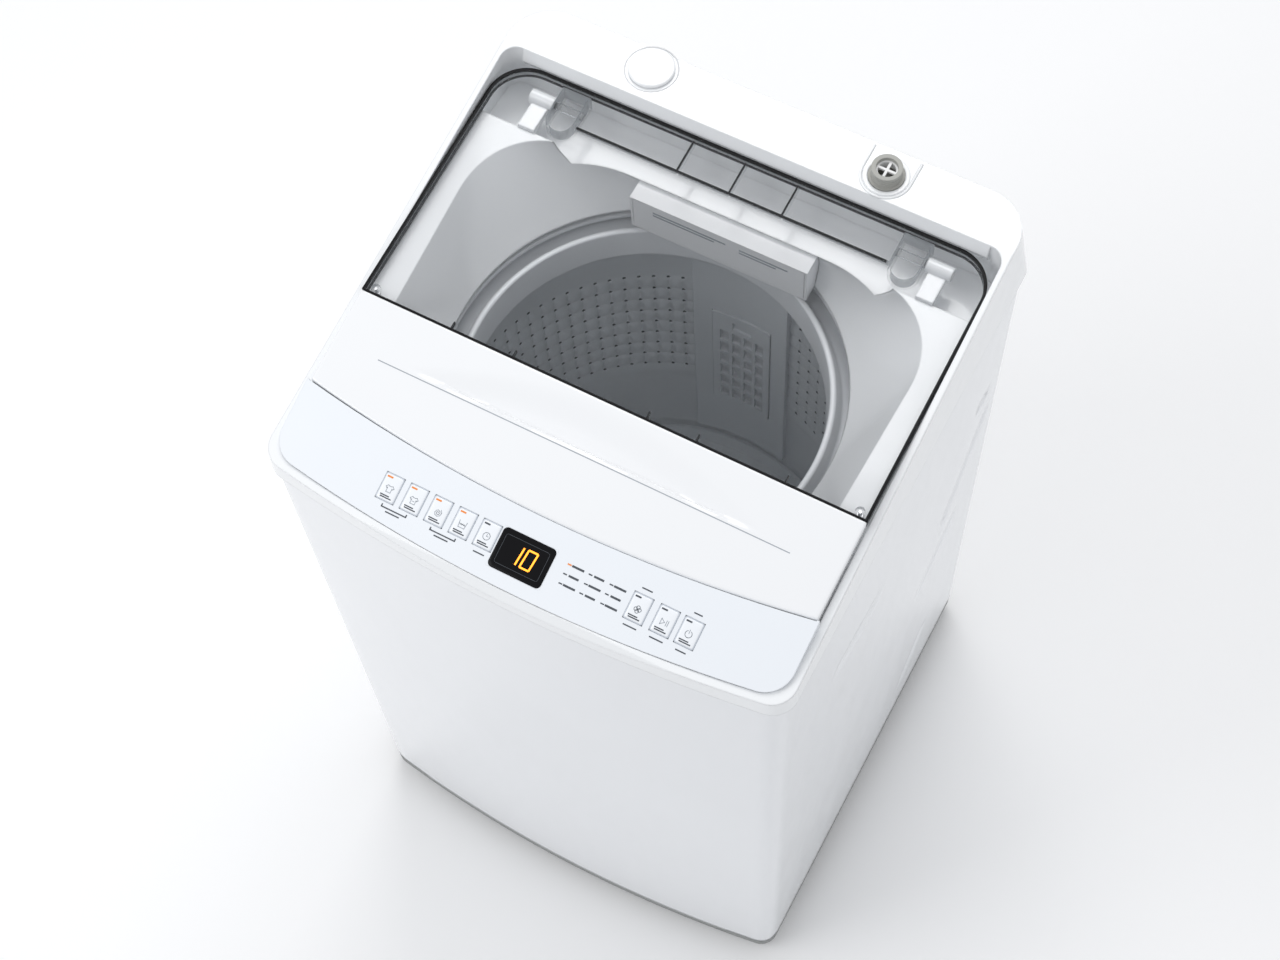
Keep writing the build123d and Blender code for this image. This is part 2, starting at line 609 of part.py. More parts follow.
# ---- lid
def lid_window():
    """The clear rear part: top sheet, rim, hinge lugs, ribs and screw bosses."""
    rear_part = block(-HALF_W, HALF_W, SEAM_Y, REAR_Y, CREASE_Z, DECK_Z + 5)
    sheet = prism(lid_outline(0), CREASE_Z, DECK_Z + 5) & lid_band(0, LID_T) & rear_part
    rim = (prism(lid_outline(0), CREASE_Z, DECK_Z + 5) - prism(lid_outline(-LID_T), CREASE_Z, DECK_Z + 5))
    sheet += rim & lid_band(0, LID_DEPTH - 2) & rear_part
    low = HINGE_Z - LUG_BELOW
    y_rear = HINGE_Y + LUG_REAR
    radius = LUG_W / 2
    y_arc = HINGE_Y - LUG_FRONT + radius
    for x in (-LUG_X, LUG_X):
        lug = block(x - radius, x + radius, y_arc, y_rear, low, DECK_Z) + rod(x, y_arc, radius, low, DECK_Z)
        thin = radius - LUG_WALL
        lug -= block(x - thin, x + thin, y_arc, y_rear - LUG_WALL, low, DECK_Z) + rod(x, y_arc, thin, low, DECK_Z)
        lug &= lid_band(LID_T, LID_DEPTH + 20)
        sheet += lug - cross_rod(x - LUG_W, x + LUG_W, HINGE_Y, HINGE_Z, PIN_R)
    rib_half = LUG_X - LUG_W / 2 + LUG_WALL / 2
    y_rib = HINGE_Y - RIB_FRONT
    ribs = block(-rib_half, rib_half, y_rib - RIB_T / 2, y_rib + RIB_T / 2, low, DECK_Z)
    for x in (-RIB_PITCH, 0, RIB_PITCH):
        ribs += block(x - RIB_T / 2, x + RIB_T / 2, y_rib, LID_REAR_Y - LID_T, low + 4, DECK_Z)
    sheet += ribs & lid_band(LID_T - 0.5, LID_DEPTH)
    for x in (-SCREW_X, SCREW_X):
        boss = rod(x, SEAM_Y + SCREW_FROM_SEAM, 4.5, CREASE_Z, DECK_Z) & lid_band(LID_T - 0.5, LID_DEPTH - 4)
        sheet += boss - rod(x, SEAM_Y + SCREW_FROM_SEAM, SCREW_R, CREASE_Z, SEAM_Z - LID_T)
    return sheet


def lid_handle():
    """The white front part: bowed front edge, grip line and two tongues under the clear part."""
    front_part = block(-HALF_W, HALF_W, FRONT_Y, SEAM_Y, CREASE_Z - 30, DECK_Z)
    block_form = prism(lid_outline(0), CREASE_Z - 30, DECK_Z) & front_part & lid_band(0, LID_DEPTH)
    inside = prism(lid_outline(-LID_T), CREASE_Z - 30, DECK_Z) & lid_band(LID_T + 1, LID_DEPTH + 5)
    shape = block_form - (inside & block(-HALF_W, HALF_W, FRONT_Y, SEAM_Y - LID_T, CREASE_Z - 30, DECK_Z))
    y_slot = SEAM_Y - GRIP_FROM_SEAM
    slot = block(-GRIP_SLOT, GRIP_SLOT, y_slot - 1, y_slot + 1, CREASE_Z, DECK_Z)
    shape -= slot & lid_band(-5, GRIP_DEEP)
    crescent = make_face([Line((-GRIP_HALF, y_slot + 3), (GRIP_HALF, y_slot + 3)),
                          ThreePointArc((GRIP_HALF, y_slot + 3), (0, SEAM_Y - 6), (-GRIP_HALF, y_slot + 3))])
    shape -= prism(crescent, CREASE_Z, DECK_Z) & lid_band(-5, GRIP_DEEP)
    for x in (-SCREW_X, SCREW_X):
        tongue = block(x - 5, x + 5, SEAM_Y - LID_T, SEAM_Y + SCREW_FROM_SEAM + 5, CREASE_Z, DECK_Z)
        tongue &= lid_band(LID_DEPTH - 4, LID_DEPTH - 2)
        shape += tongue - rod(x, SEAM_Y + SCREW_FROM_SEAM, SCREW_R + 0.1, CREASE_Z, DECK_Z)
    return shape


def lid_screws():
    """The two screws that join the lid's front to its clear part."""
    screws = []
    y = SEAM_Y + SCREW_FROM_SEAM
    low = lid_height(y) - LID_DEPTH + 1.5
    for x in (-SCREW_X, SCREW_X):
        screws.append(rod(x, y, 3.0, low - 1.3, low + 0.1) + rod(x, y, SCREW_R, low, SEAM_Z - LID_T - 0.5))
    return group(screws)


def lid_hinge_pins():
    """The pins pressed into the lugs, reaching out into the barrels."""
    outer = LUG_X + LUG_W / 2 + BARREL_LENGTH
    inner = LUG_X - LUG_W / 2
    return group([cross_rod(min(s * inner, s * outer), max(s * inner, s * outer), HINGE_Y, HINGE_Z, PIN_R)
                  for s in (-1, 1)])


def hinge_barrels():
    """Barrels on webs from the trough's front wall, outboard of the lugs."""
    barrels = []
    for s in (-1, 1):
        x0 = s * (LUG_X + LUG_W / 2 + 2 * CLEARANCE)
        x1 = s * (LUG_X + LUG_W / 2 + BARREL_LENGTH + 2)
        low, high = min(x0, x1), max(x0, x1)
        barrel = cross_rod(low, high, HINGE_Y, HINGE_Z, BARREL_R)
        barrel += block(low + 4, high - 4, TROUGH_Y, HINGE_Y, HINGE_Z - BARREL_R, HINGE_Z)
        barrels.append(barrel - cross_rod(low - 5, high + 5, HINGE_Y, HINGE_Z, PIN_R + RUNNING))
    return group(barrels)


def lid_switch():
    """The switch that senses the closed lid, under the well floor at the right."""
    x = LID_HALF_W - 22
    y = SEAM_Y - 60
    top = lid_height(y - 15) - WELL_DEPTH - COVER_WALL - 1.5
    return block(x, x + 14, y - 15, y + 15, top - 22, top)


# ---- water
def inlet_nozzle():
    """The tap connection, seated in the deck."""
    y = DECK_MID_Y - 3.5
    body = rod(NOZZLE_X, y, NOZZLE_R, DECK_Z - 12, DECK_Z + NOZZLE_RISE)
    body += rod(NOZZLE_X, y, NOZZLE_R + 2.5, DECK_Z, DECK_Z + 2.5)
    return body - rod(NOZZLE_X, y, NOZZLE_BORE_R, DECK_Z - 12, DECK_Z + NOZZLE_RISE)


def inlet_filter():
    """The cross barred strainer in the nozzle's mouth."""
    y = DECK_MID_Y - 3.5
    z = DECK_Z + NOZZLE_RISE - 4
    ring = rod(NOZZLE_X, y, NOZZLE_BORE_R, z - 8, z) - rod(NOZZLE_X, y, NOZZLE_BORE_R - 1.6, z - 8, z)
    cross = block(NOZZLE_X - 9, NOZZLE_X + 9, y - 1.2, y + 1.2, z - 2.4, z)
    cross += block(NOZZLE_X - 1.2, NOZZLE_X + 1.2, y - 9, y + 9, z - 2.4, z)
    return ring + cross


def inlet_valve():
    """The valve body under the nozzle with its coil at one side."""
    y = DECK_MID_Y - 3.5
    body = rod(NOZZLE_X, y, NOZZLE_R + 4, DECK_Z - 40, DECK_Z - 12)
    body += cross_rod(NOZZLE_X - 34, NOZZLE_X, y, DECK_Z - 28, 9)
    coil = block(NOZZLE_X - 66, NOZZLE_X - 34, y - 15, y + 15, DECK_Z - 44, DECK_Z - 14)
    return group([body, coil])


def housing_box(grow):
    """The outer form of the drawer housing, which reaches back under the deck."""
    half = HOUSING_W / 2 + grow
    return block(-half, half, HOUSING_Y - grow, RISER_Y + 6, HOUSING_LOW_Z - grow, HOUSING_TOP_Z + grow)


def fill_housing():
    """The open fronted case that the drawer slides in, with rinse holes in its roof."""
    t = HOUSING_WALL
    half = HOUSING_W / 2 - t
    inside = block(-half, half, HOUSING_Y - 1, RISER_Y + 6 - t, HOUSING_LOW_Z + t, HOUSING_TOP_Z - t)
    case = housing_box(0) - inside
    for k in range(8):
        x = -half + 14 + k * (2 * half - 28) / 7
        case -= rod(x, HOUSING_Y + 40, 2.0, HOUSING_TOP_Z - 2 * t, HOUSING_TOP_Z + 1)
    return case


def detergent_drawer():
    """A drawer with a powder tray, a softener tray and a flush front."""
    t = HOUSING_WALL
    half = HOUSING_W / 2 - t - CLEARANCE
    y0 = HOUSING_Y
    z0 = HOUSING_LOW_Z + t + CLEARANCE
    z1 = HOUSING_TOP_Z - t - CLEARANCE
    y1 = RISER_Y + 6 - t - 2 * CLEARANCE
    tray_top = z1 - 8
    tray = block(-half, half, y0, y1, z0, tray_top)
    mid = half / 4
    tray -= block(-half + 2, mid - 1, y0 + DRAWER_FRONT_T, y1 - 2, z0 + 2, tray_top)
    tray -= block(mid + 1, half - 2, y0 + DRAWER_FRONT_T, y1 - 2, z0 + 2, tray_top)
    return tray + block(-half, half, y0, y0 + DRAWER_FRONT_T, z0, z1)


def bath_inlet_cap():
    """The lift off cap over the second water inlet."""
    y = DECK_MID_Y + 4.5
    cap = rod(CAP_X, y, CAP_R, DECK_Z + CLEARANCE, DECK_Z + CAP_RISE)
    plug = rod(CAP_X, y, CAP_PLUG_R, DECK_Z - 8, DECK_Z + CAP_RISE)
    return cap + plug - rod(CAP_X, y, CAP_PLUG_R - 2, DECK_Z - 8, DECK_Z + 1)


def pressure_switch():
    """The round level sensor under the deck at the left."""
    x = -HALF_W + 60
    top = DECK_Z - 12
    return rod(x, DECK_MID_Y, 19, top - 18, top) + rod(x, DECK_MID_Y, 5, top - 32, top)


def drain_outlet():
    """The socket for the drain hose, flush in the left side."""
    x0 = -CABINET_HALF_W
    tube = Pos(x0 + 16, DRAIN_Y, DRAIN_Z) * Rot(0, 90, 0) * Cylinder(DRAIN_BORE_R + 4, 32)
    return tube - Pos(x0 + 16, DRAIN_Y, DRAIN_Z) * Rot(0, 90, 0) * Cylinder(DRAIN_BORE_R, 40)


def motor_capacitor():
    """The run capacitor, clipped to the base at the rear left."""
    return rod(-FOOT_X + 58, FOOT_Y - 4, 18, BASE_Z + PAD_T, BASE_Z + PAD_T + 56) \
        + block(-FOOT_X + 20, -FOOT_X + 58, FOOT_Y - 12, FOOT_Y + 4, BASE_Z + PAD_T, BASE_Z + PAD_T + 3) \
        - rod(-FOOT_X, FOOT_Y, 11.5, BASE_Z, BASE_Z + BOSS_H)


# ---- suspension
def suspension_rods():
    """Four rods hung by ball heads from the wrap's corners, each with a foot plate."""
    rods = []
    for x, y in ROD_POINTS:
        shape = rod(x, y, ROD_R, ROD_FOOT_Z - 6, HANGER_Z + HANGER_T + 6)
        shape += Pos(x, y, HANGER_Z + HANGER_T + 5) * Sphere(6)
        under, over = HANGER_Z - 8, HANGER_Z + HANGER_T
        shape -= rod(x, y, 8, under, over) - rod(x, y, ROD_R, under, over)
        shape += rod(x, y, SPRING_R + 4, ROD_FOOT_Z, ROD_FOOT_Z + ROD_FOOT_T)
        rods.append(shape)
    return group(rods)


def suspension_springs():
    """Coil springs between the rod feet and the tub's arms."""
    height = SPRING_FREE - 2 * SPRING_WIRE_R
    path = Helix(height / SPRING_TURNS, height, SPRING_R)
    start = Plane(origin=path @ 0, z_dir=path % 0)
    coil = sweep(start * Circle(SPRING_WIRE_R), path=path)
    return group([Pos(x, y, ROD_FOOT_Z + ROD_FOOT_T + SPRING_WIRE_R) * coil for x, y in ROD_POINTS])


def outer_tub():
    """The water tub: wall, floor with the drain hole, and four hanging arms."""
    inner = TUB_R - TUB_WALL
    tub = turned([(SEAL_R, TUB_FLOOR_Z), (TUB_R, TUB_FLOOR_Z), (TUB_R, TUB_RIM_Z), (inner, TUB_RIM_Z),
                  (inner, TUB_FLOOR_Z + TUB_FLOOR_T), (SEAL_R, TUB_FLOOR_Z + TUB_FLOOR_T)])
    core = disc(inner + TUB_WALL / 2, ARM_Z - 5, ARM_Z + ARM_T + 5)
    for x, y in ROD_POINTS:
        reach = math.hypot(x, y - AXIS_Y)
        turn = math.degrees(math.atan2(y - AXIS_Y, x))
        arm = Pos(0, AXIS_Y, ARM_Z) * Rot(0, 0, turn) * Pos(reach / 2, 0, ARM_T / 2) * Box(reach, ARM_W, ARM_T)
        arm += rod(x, y, ARM_W / 2, ARM_Z, ARM_Z + ARM_T)
        tub += (arm - core) - rod(x, y, ROD_R + 1.5, ARM_Z, ARM_Z + ARM_T)
    return tub - rod(VALVE_X, VALVE_Y, 14, TUB_FLOOR_Z, TUB_FLOOR_Z + TUB_FLOOR_T)


def tub_ring():
    """The splash ring that closes the tub's rim and leads the washing inwards."""
    return turned([(TUB_R + 3, TUB_RIM_Z - 8), (TUB_R + 3, TUB_RIM_Z + 12), (TUB_LIP_R + 14, TUB_LIP_Z - 4),
                   (TUB_LIP_R + 8, TUB_LIP_Z), (TUB_LIP_R, TUB_LIP_Z), (TUB_LIP_R, TUB_LIP_Z - 6),
                   (TUB_LIP_R + 12, TUB_LIP_Z - 7), (TUB_R - TUB_WALL, TUB_RIM_Z + 9),
                   (TUB_R - TUB_WALL, TUB_RIM_Z), (TUB_R, TUB_RIM_Z), (TUB_R, TUB_RIM_Z - 8)])


def drain_valve():
    """The drain valve under the tub with its pull motor beside it."""
    body = rod(VALVE_X, VALVE_Y, 22, TUB_FLOOR_Z - 46, TUB_FLOOR_Z)
    body -= rod(VALVE_X, VALVE_Y, 14, TUB_FLOOR_Z - 40, TUB_FLOOR_Z)
    motor = block(VALVE_X - 26, VALVE_X + 26, VALVE_Y - 92, VALVE_Y - 40,
                  TUB_FLOOR_Z - 36, TUB_FLOOR_Z)
    return group([body, motor])


def drain_elbow():
    """The valve's side outlet, where the inner drain hose pushes on."""
    z = TUB_FLOOR_Z - 26
    tube = cross_rod(VALVE_X - 58, VALVE_X - 18, VALVE_Y, z, 15) - cross_rod(VALVE_X - 60, VALVE_X, VALVE_Y,
                                                                                  z, 12)
    return tube - rod(VALVE_X, VALVE_Y, 22, TUB_FLOOR_Z - 46, TUB_FLOOR_Z)


# ---- drive under the tub
def gearcase():
    """The bearing housing bolted under the tub."""
    bored = TUB_FLOOR_Z - GEARCASE_Z - 50
    case = disc(GEARCASE_R, GEARCASE_Z, TUB_FLOOR_Z)
    case -= disc(BEARING_R, GEARCASE_Z + bored, TUB_FLOOR_Z)
    return case - disc(SHAFT_R + 1, GEARCASE_Z, TUB_FLOOR_Z)


def ring(outer, inner, low, high):
    """A plain ring on the tub's axis."""
    return disc(outer, low, high) - disc(inner, low, high)


def main_bearings():
    """The two bearings that carry the spin tube."""
    inner = TUBE_R + RUNNING
    low = TUB_FLOOR_Z - 48
    return group([ring(BEARING_R, inner, low, low + 12), ring(BEARING_R, inner, low + 28, low + 40)])


def shaft_seal():
    """The lip seal in the tub floor."""
    return ring(SEAL_R, TUBE_R + RUNNING, TUB_FLOOR_Z - 4, TUB_FLOOR_Z + TUB_FLOOR_T + 2)


def motor_plate():
    """The plate that carries the motor under the tub."""
    plate = block(-20, MOTOR_X + MOTOR_R - 5, AXIS_Y - 45, AXIS_Y + 45, TUB_FLOOR_Z - 8, TUB_FLOOR_Z)
    return plate - disc(GEARCASE_R, TUB_FLOOR_Z - 10, TUB_FLOOR_Z + 2)


def motor_stator():
    """The stator can, hung on the motor plate, bored for the rotor."""
    top = TUB_FLOOR_Z - 8
    can = rod(MOTOR_X, AXIS_Y, MOTOR_R, MOTOR_Z, top)
    can -= rod(MOTOR_X, AXIS_Y, MOTOR_R * 0.6, MOTOR_Z + 6, top - 6)
    return can - rod(MOTOR_X, AXIS_Y, MOTOR_SHAFT_R + RUNNING, MOTOR_Z - 1, top - 6)


def motor_rotor():
    """The rotor core on the motor shaft."""
    top = TUB_FLOOR_Z - 8
    core = rod(MOTOR_X, AXIS_Y, MOTOR_R * 0.6 - 1, MOTOR_Z + 8, top - 8)
    return core + rod(MOTOR_X, AXIS_Y, MOTOR_SHAFT_R, PULLEY_Z, top - 7)


def grooved(radius, bore):
    """A pulley turned about the upright axis through the origin, with a flat belt seat."""
    edge = (PULLEY_H - BELT_W) / 2 - 1
    upward = (Align.CENTER, Align.CENTER, Align.MIN)
    blank = Pos(0, 0, PULLEY_Z) * Cylinder(radius + 4, PULLEY_H, align=upward)
    seat = Pos(0, 0, PULLEY_Z + edge) * (
        Cylinder(radius + 5, PULLEY_H - 2 * edge, align=upward)
        - Cylinder(radius, PULLEY_H - 2 * edge, align=upward))
    return blank - seat - Cylinder(bore, 4 * PULLEY_Z)


def motor_pulley():
    return Pos(MOTOR_X, AXIS_Y, 0) * grooved(MOTOR_PULLEY_R, MOTOR_SHAFT_R)


def drive_pulley():
    """The large pulley with five lightening holes."""
    wheel = grooved(PULLEY_R, SHAFT_R)
    for k in range(5):
        wheel -= Rot(0, 0, 72 * k) * Pos(PULLEY_R * 0.6, 0, PULLEY_Z + PULLEY_H / 2) * Cylinder(13, 2 * PULLEY_H)
    return AXIS * wheel


def belt_loop(grow):
    """The outline round both pulleys: two circles and the strip between their tangents."""
    big = PULLEY_R + BELT_GAP + grow
    small = MOTOR_PULLEY_R + BELT_GAP + grow
    lean = math.acos((big - small) / MOTOR_X)
    c, s = math.cos(lean), math.sin(lean)
    strip = make_face(Polyline((big * c, big * s), (MOTOR_X + small * c, small * s),
                               (MOTOR_X + small * c, -small * s), (big * c, -big * s), close=True))
    return Circle(big) + Pos(MOTOR_X, 0) * Circle(small) + strip


def drive_belt():
    """The belt round the two pulleys."""
    low = PULLEY_Z + (PULLEY_H - BELT_W) / 2
    loop = extrude(belt_loop(BELT_T), amount=BELT_W) - extrude(belt_loop(0), amount=BELT_W)
    return Pos(0, AXIS_Y, low) * loop


# ---- basket
def basket_wall():
    """The steel drum wall."""
    return ring(BASKET_R + BASKET_SHEET, BASKET_R, BASKET_WALL_Z, RING_LOW_Z)


def basket_base():
    """The moulded basket floor with its hub and the curb round the pulsator."""
    outer = BASKET_R + BASKET_SHEET
    floor_top = BASKET_FLOOR_Z + BASKET_FLOOR_T
    curb = PULSATOR_R + 6
    return turned([(TUBE_R, BASKET_FLOOR_Z - 16), (34, BASKET_FLOOR_Z - 16), (34, BASKET_FLOOR_Z),
                   (outer, BASKET_FLOOR_Z), (outer, BASKET_WALL_Z), (outer - 5, BASKET_WALL_Z),
                   (outer - 12, floor_top + 24), (curb, floor_top + 18), (curb, floor_top), (TUBE_R, floor_top)])


def spin_tube():
    """The hollow shaft that turns the basket."""
    return ring(TUBE_R, SHAFT_R + RUNNING, TUB_FLOOR_Z - 49, BASKET_FLOOR_Z + BASKET_FLOOR_T)


def balance_ring():
    """The liquid filled ring round the basket's mouth."""
    outer = BASKET_R + BASKET_SHEET + 3
    shoulder = DECK_Z - RING_SHOULDER_BELOW_DECK
    lip = DECK_Z - RING_LIP_BELOW_DECK
    return turned([(BASKET_R - 2, RING_LOW_Z), (outer, RING_LOW_Z), (outer, shoulder - 6), (outer - 6, shoulder),
                   (RING_INNER_R + 14, shoulder), (RING_INNER_R + 8, RING_TOP_Z), (RING_INNER_R + 2.5, RING_TOP_Z),
                   (RING_INNER_R, lip), (RING_INNER_R + 3, lip - 6)])


def channel_arc(inner, outer, low, high):
    """Part of a ring, centred on the rear of the basket."""
    span = turned([(inner, low), (outer, low), (outer, high), (inner, high)])
    half = outer * math.sin(math.radians(CHANNEL_HALF_ANGLE))
    return span & block(-half, half, AXIS_Y, AXIS_Y + 2 * outer, low, high)


def water_channel():
    """The panel on the drum wall that lifts water to the lint filter."""
    inner = BASKET_R - CHANNEL_DEEP
    body = channel_arc(inner, BASKET_R, BASKET_WALL_Z + CHANNEL_LOW, RING_LOW_Z)
    half = FILTER_W / 2 + 2 * CLEARANCE
    low = FILTER_LOW_Z - 2 * CLEARANCE
    high = FILTER_LOW_Z + FILTER_H + 2 * CLEARANCE
    pocket = block(-half, half, AXIS_Y, AXIS_Y + 2 * BASKET_R, low, high)
    return body - (pocket & disc(BASKET_R - 1.5, low, high))


def lint_filter():
    """The lint filter frame with its four by six windows and its latch."""
    outer = BASKET_R - 1.5 - 2 * CLEARANCE
    half = FILTER_W / 2
    body = ring(outer, outer - FILTER_T, FILTER_LOW_Z, FILTER_LOW_Z + FILTER_H)
    body &= block(-half, half, AXIS_Y, AXIS_Y + 2 * BASKET_R, FILTER_LOW_Z, FILTER_LOW_Z + FILTER_H)
    pitch_x = (FILTER_W - 12) / 4
    pitch_z = (FILTER_H - 40) / 6
    for column in range(4):
        x = -half + 6 + pitch_x * (column + 0.5)
        for row in range(6):
            z = FILTER_LOW_Z + 8 + pitch_z * (row + 0.5)
            body -= Pos(x, AXIS_Y + outer, z) * Box(pitch_x - 3.5, 3 * FILTER_T, pitch_z - 5)
    latch_z = FILTER_LOW_Z + FILTER_H - 20
    return body - (Pos(0, AXIS_Y + outer - FILTER_T, latch_z) * Box(22, 5, 14))


def pulsator():
    """The finned agitator disc."""
    low = PULSATOR_Z
    high = low + PULSATOR_T
    body = turned([(SHAFT_R, low), (PULSATOR_R - 3, low), (PULSATOR_R, low + 3), (PULSATOR_R, high),
                   (40, high + 6), (32, high + 16), (SHAFT_R, high + 16)])
    for k in range(VANES):
        vane = Pos(PULSATOR_R / 2 + 8, 0, VANE_H / 2) * Box(PULSATOR_R - 40, 9, VANE_H)
        body += AXIS * Pos(0, 0, high - 2) * Rot(0, 0, 360 / VANES * k) * vane
    cone = turned([(0, low + 6), (PULSATOR_R, low + 6), (PULSATOR_R, high), (40, high + VANE_H),
                   (0, high + VANE_H)])
    plain = turned([(0, low), (PULSATOR_R + 1, low), (PULSATOR_R + 1, low + 6), (0, low + 6)])
    return (body & (cone + plain)) - disc(SHAFT_R, low - 1, high + 40)


def pulsator_screw():
    """The screw that holds the pulsator on its shaft."""
    top = PULSATOR_Z + PULSATOR_T + VANE_H
    head = AXIS * Pos(0, 0, top) * Cylinder(13, 5, align=(Align.CENTER, Align.CENTER, Align.MIN))
    return head - AXIS * Pos(0, 0, top + 5) * Box(16, 2.4, 3)


def wash_shaft():
    """The inner shaft from the drive pulley to the pulsator."""
    return disc(SHAFT_R, PULLEY_Z, PULSATOR_Z + PULSATOR_T + VANE_H)


NODES = {
    "cabinet_panels": cabinet_panels, "back_panel": back_panel, "back_panel_screws": back_panel_screws,
    "cord_gland": cord_gland, "base_frame": base_frame, "fixed_feet": fixed_feet, "level_foot": level_foot,
    "side_screw_caps": side_screw_caps, "top_cover": top_cover, "control_panel": control_panel,
    "display_window": display_window, "control_board": control_board, "key_switches": key_switches,
    "lid_window": lid_window, "lid_handle": lid_handle, "lid_screws": lid_screws,
    "lid_hinge_pins": lid_hinge_pins, "hinge_barrels": hinge_barrels, "lid_switch": lid_switch,
    "inlet_nozzle": inlet_nozzle, "inlet_filter": inlet_filter, "inlet_valve": inlet_valve,
    "fill_housing": fill_housing, "detergent_drawer": detergent_drawer, "bath_inlet_cap": bath_inlet_cap,
    "pressure_switch": pressure_switch, "drain_outlet": drain_outlet, "motor_capacitor": motor_capacitor,
    "suspension_rods": suspension_rods, "suspension_springs": suspension_springs, "outer_tub": outer_tub,
    "tub_ring": tub_ring, "drain_valve": drain_valve, "drain_elbow": drain_elbow, "gearcase": gearcase,
    "main_bearings": main_bearings, "shaft_seal": shaft_seal, "motor_plate": motor_plate,
    "motor_stator": motor_stator, "motor_rotor": motor_rotor, "motor_pulley": motor_pulley,
    "drive_pulley": drive_pulley, "drive_belt": drive_belt, "basket_wall": basket_wall,
    "basket_base": basket_base, "spin_tube": spin_tube, "balance_ring": balance_ring,
    "water_channel": water_channel, "lint_filter": lint_filter, "pulsator": pulsator,
    "pulsator_screw": pulsator_screw, "wash_shaft": wash_shaft,
}

os.makedirs("parts", exist_ok=True)
for node, make in NODES.items():
    export_step(make(), f"parts/{node}.step")
for name, x in KEY_X.items():
    export_step(key(x), f"parts/key_{name}.step")
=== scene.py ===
"""Looks of a top load washing machine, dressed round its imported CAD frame.

Lengths are in metres in the frame's own axes: the floor is z = 0 and the key panel faces -Y.
"""

import json
import logging
import math
from dataclasses import dataclass, field
from enum import Enum
from typing import Callable, Sequence

import bmesh
import bpy
import numpy as np
from mathutils import Euler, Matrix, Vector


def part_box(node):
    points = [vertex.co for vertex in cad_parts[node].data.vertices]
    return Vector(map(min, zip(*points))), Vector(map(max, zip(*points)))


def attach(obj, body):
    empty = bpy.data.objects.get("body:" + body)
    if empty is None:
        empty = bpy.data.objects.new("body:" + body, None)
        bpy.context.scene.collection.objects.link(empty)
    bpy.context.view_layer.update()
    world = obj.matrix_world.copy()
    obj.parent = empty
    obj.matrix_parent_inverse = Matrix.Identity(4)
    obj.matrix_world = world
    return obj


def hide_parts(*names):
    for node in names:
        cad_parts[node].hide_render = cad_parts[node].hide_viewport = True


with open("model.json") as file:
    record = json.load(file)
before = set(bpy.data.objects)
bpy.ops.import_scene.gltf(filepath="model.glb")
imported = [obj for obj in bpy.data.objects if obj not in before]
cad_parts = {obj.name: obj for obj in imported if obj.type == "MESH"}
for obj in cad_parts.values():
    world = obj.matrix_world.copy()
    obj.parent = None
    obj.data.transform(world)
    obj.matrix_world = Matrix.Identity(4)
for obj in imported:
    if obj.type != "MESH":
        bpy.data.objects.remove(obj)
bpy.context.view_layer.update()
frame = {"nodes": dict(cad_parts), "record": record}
DECK_Z = float(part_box("top_cover")[1].z)
LOG = logging.getLogger("washing_machine")
MM = 0.001
Colour = tuple[float, float, float]
Array = np.ndarray


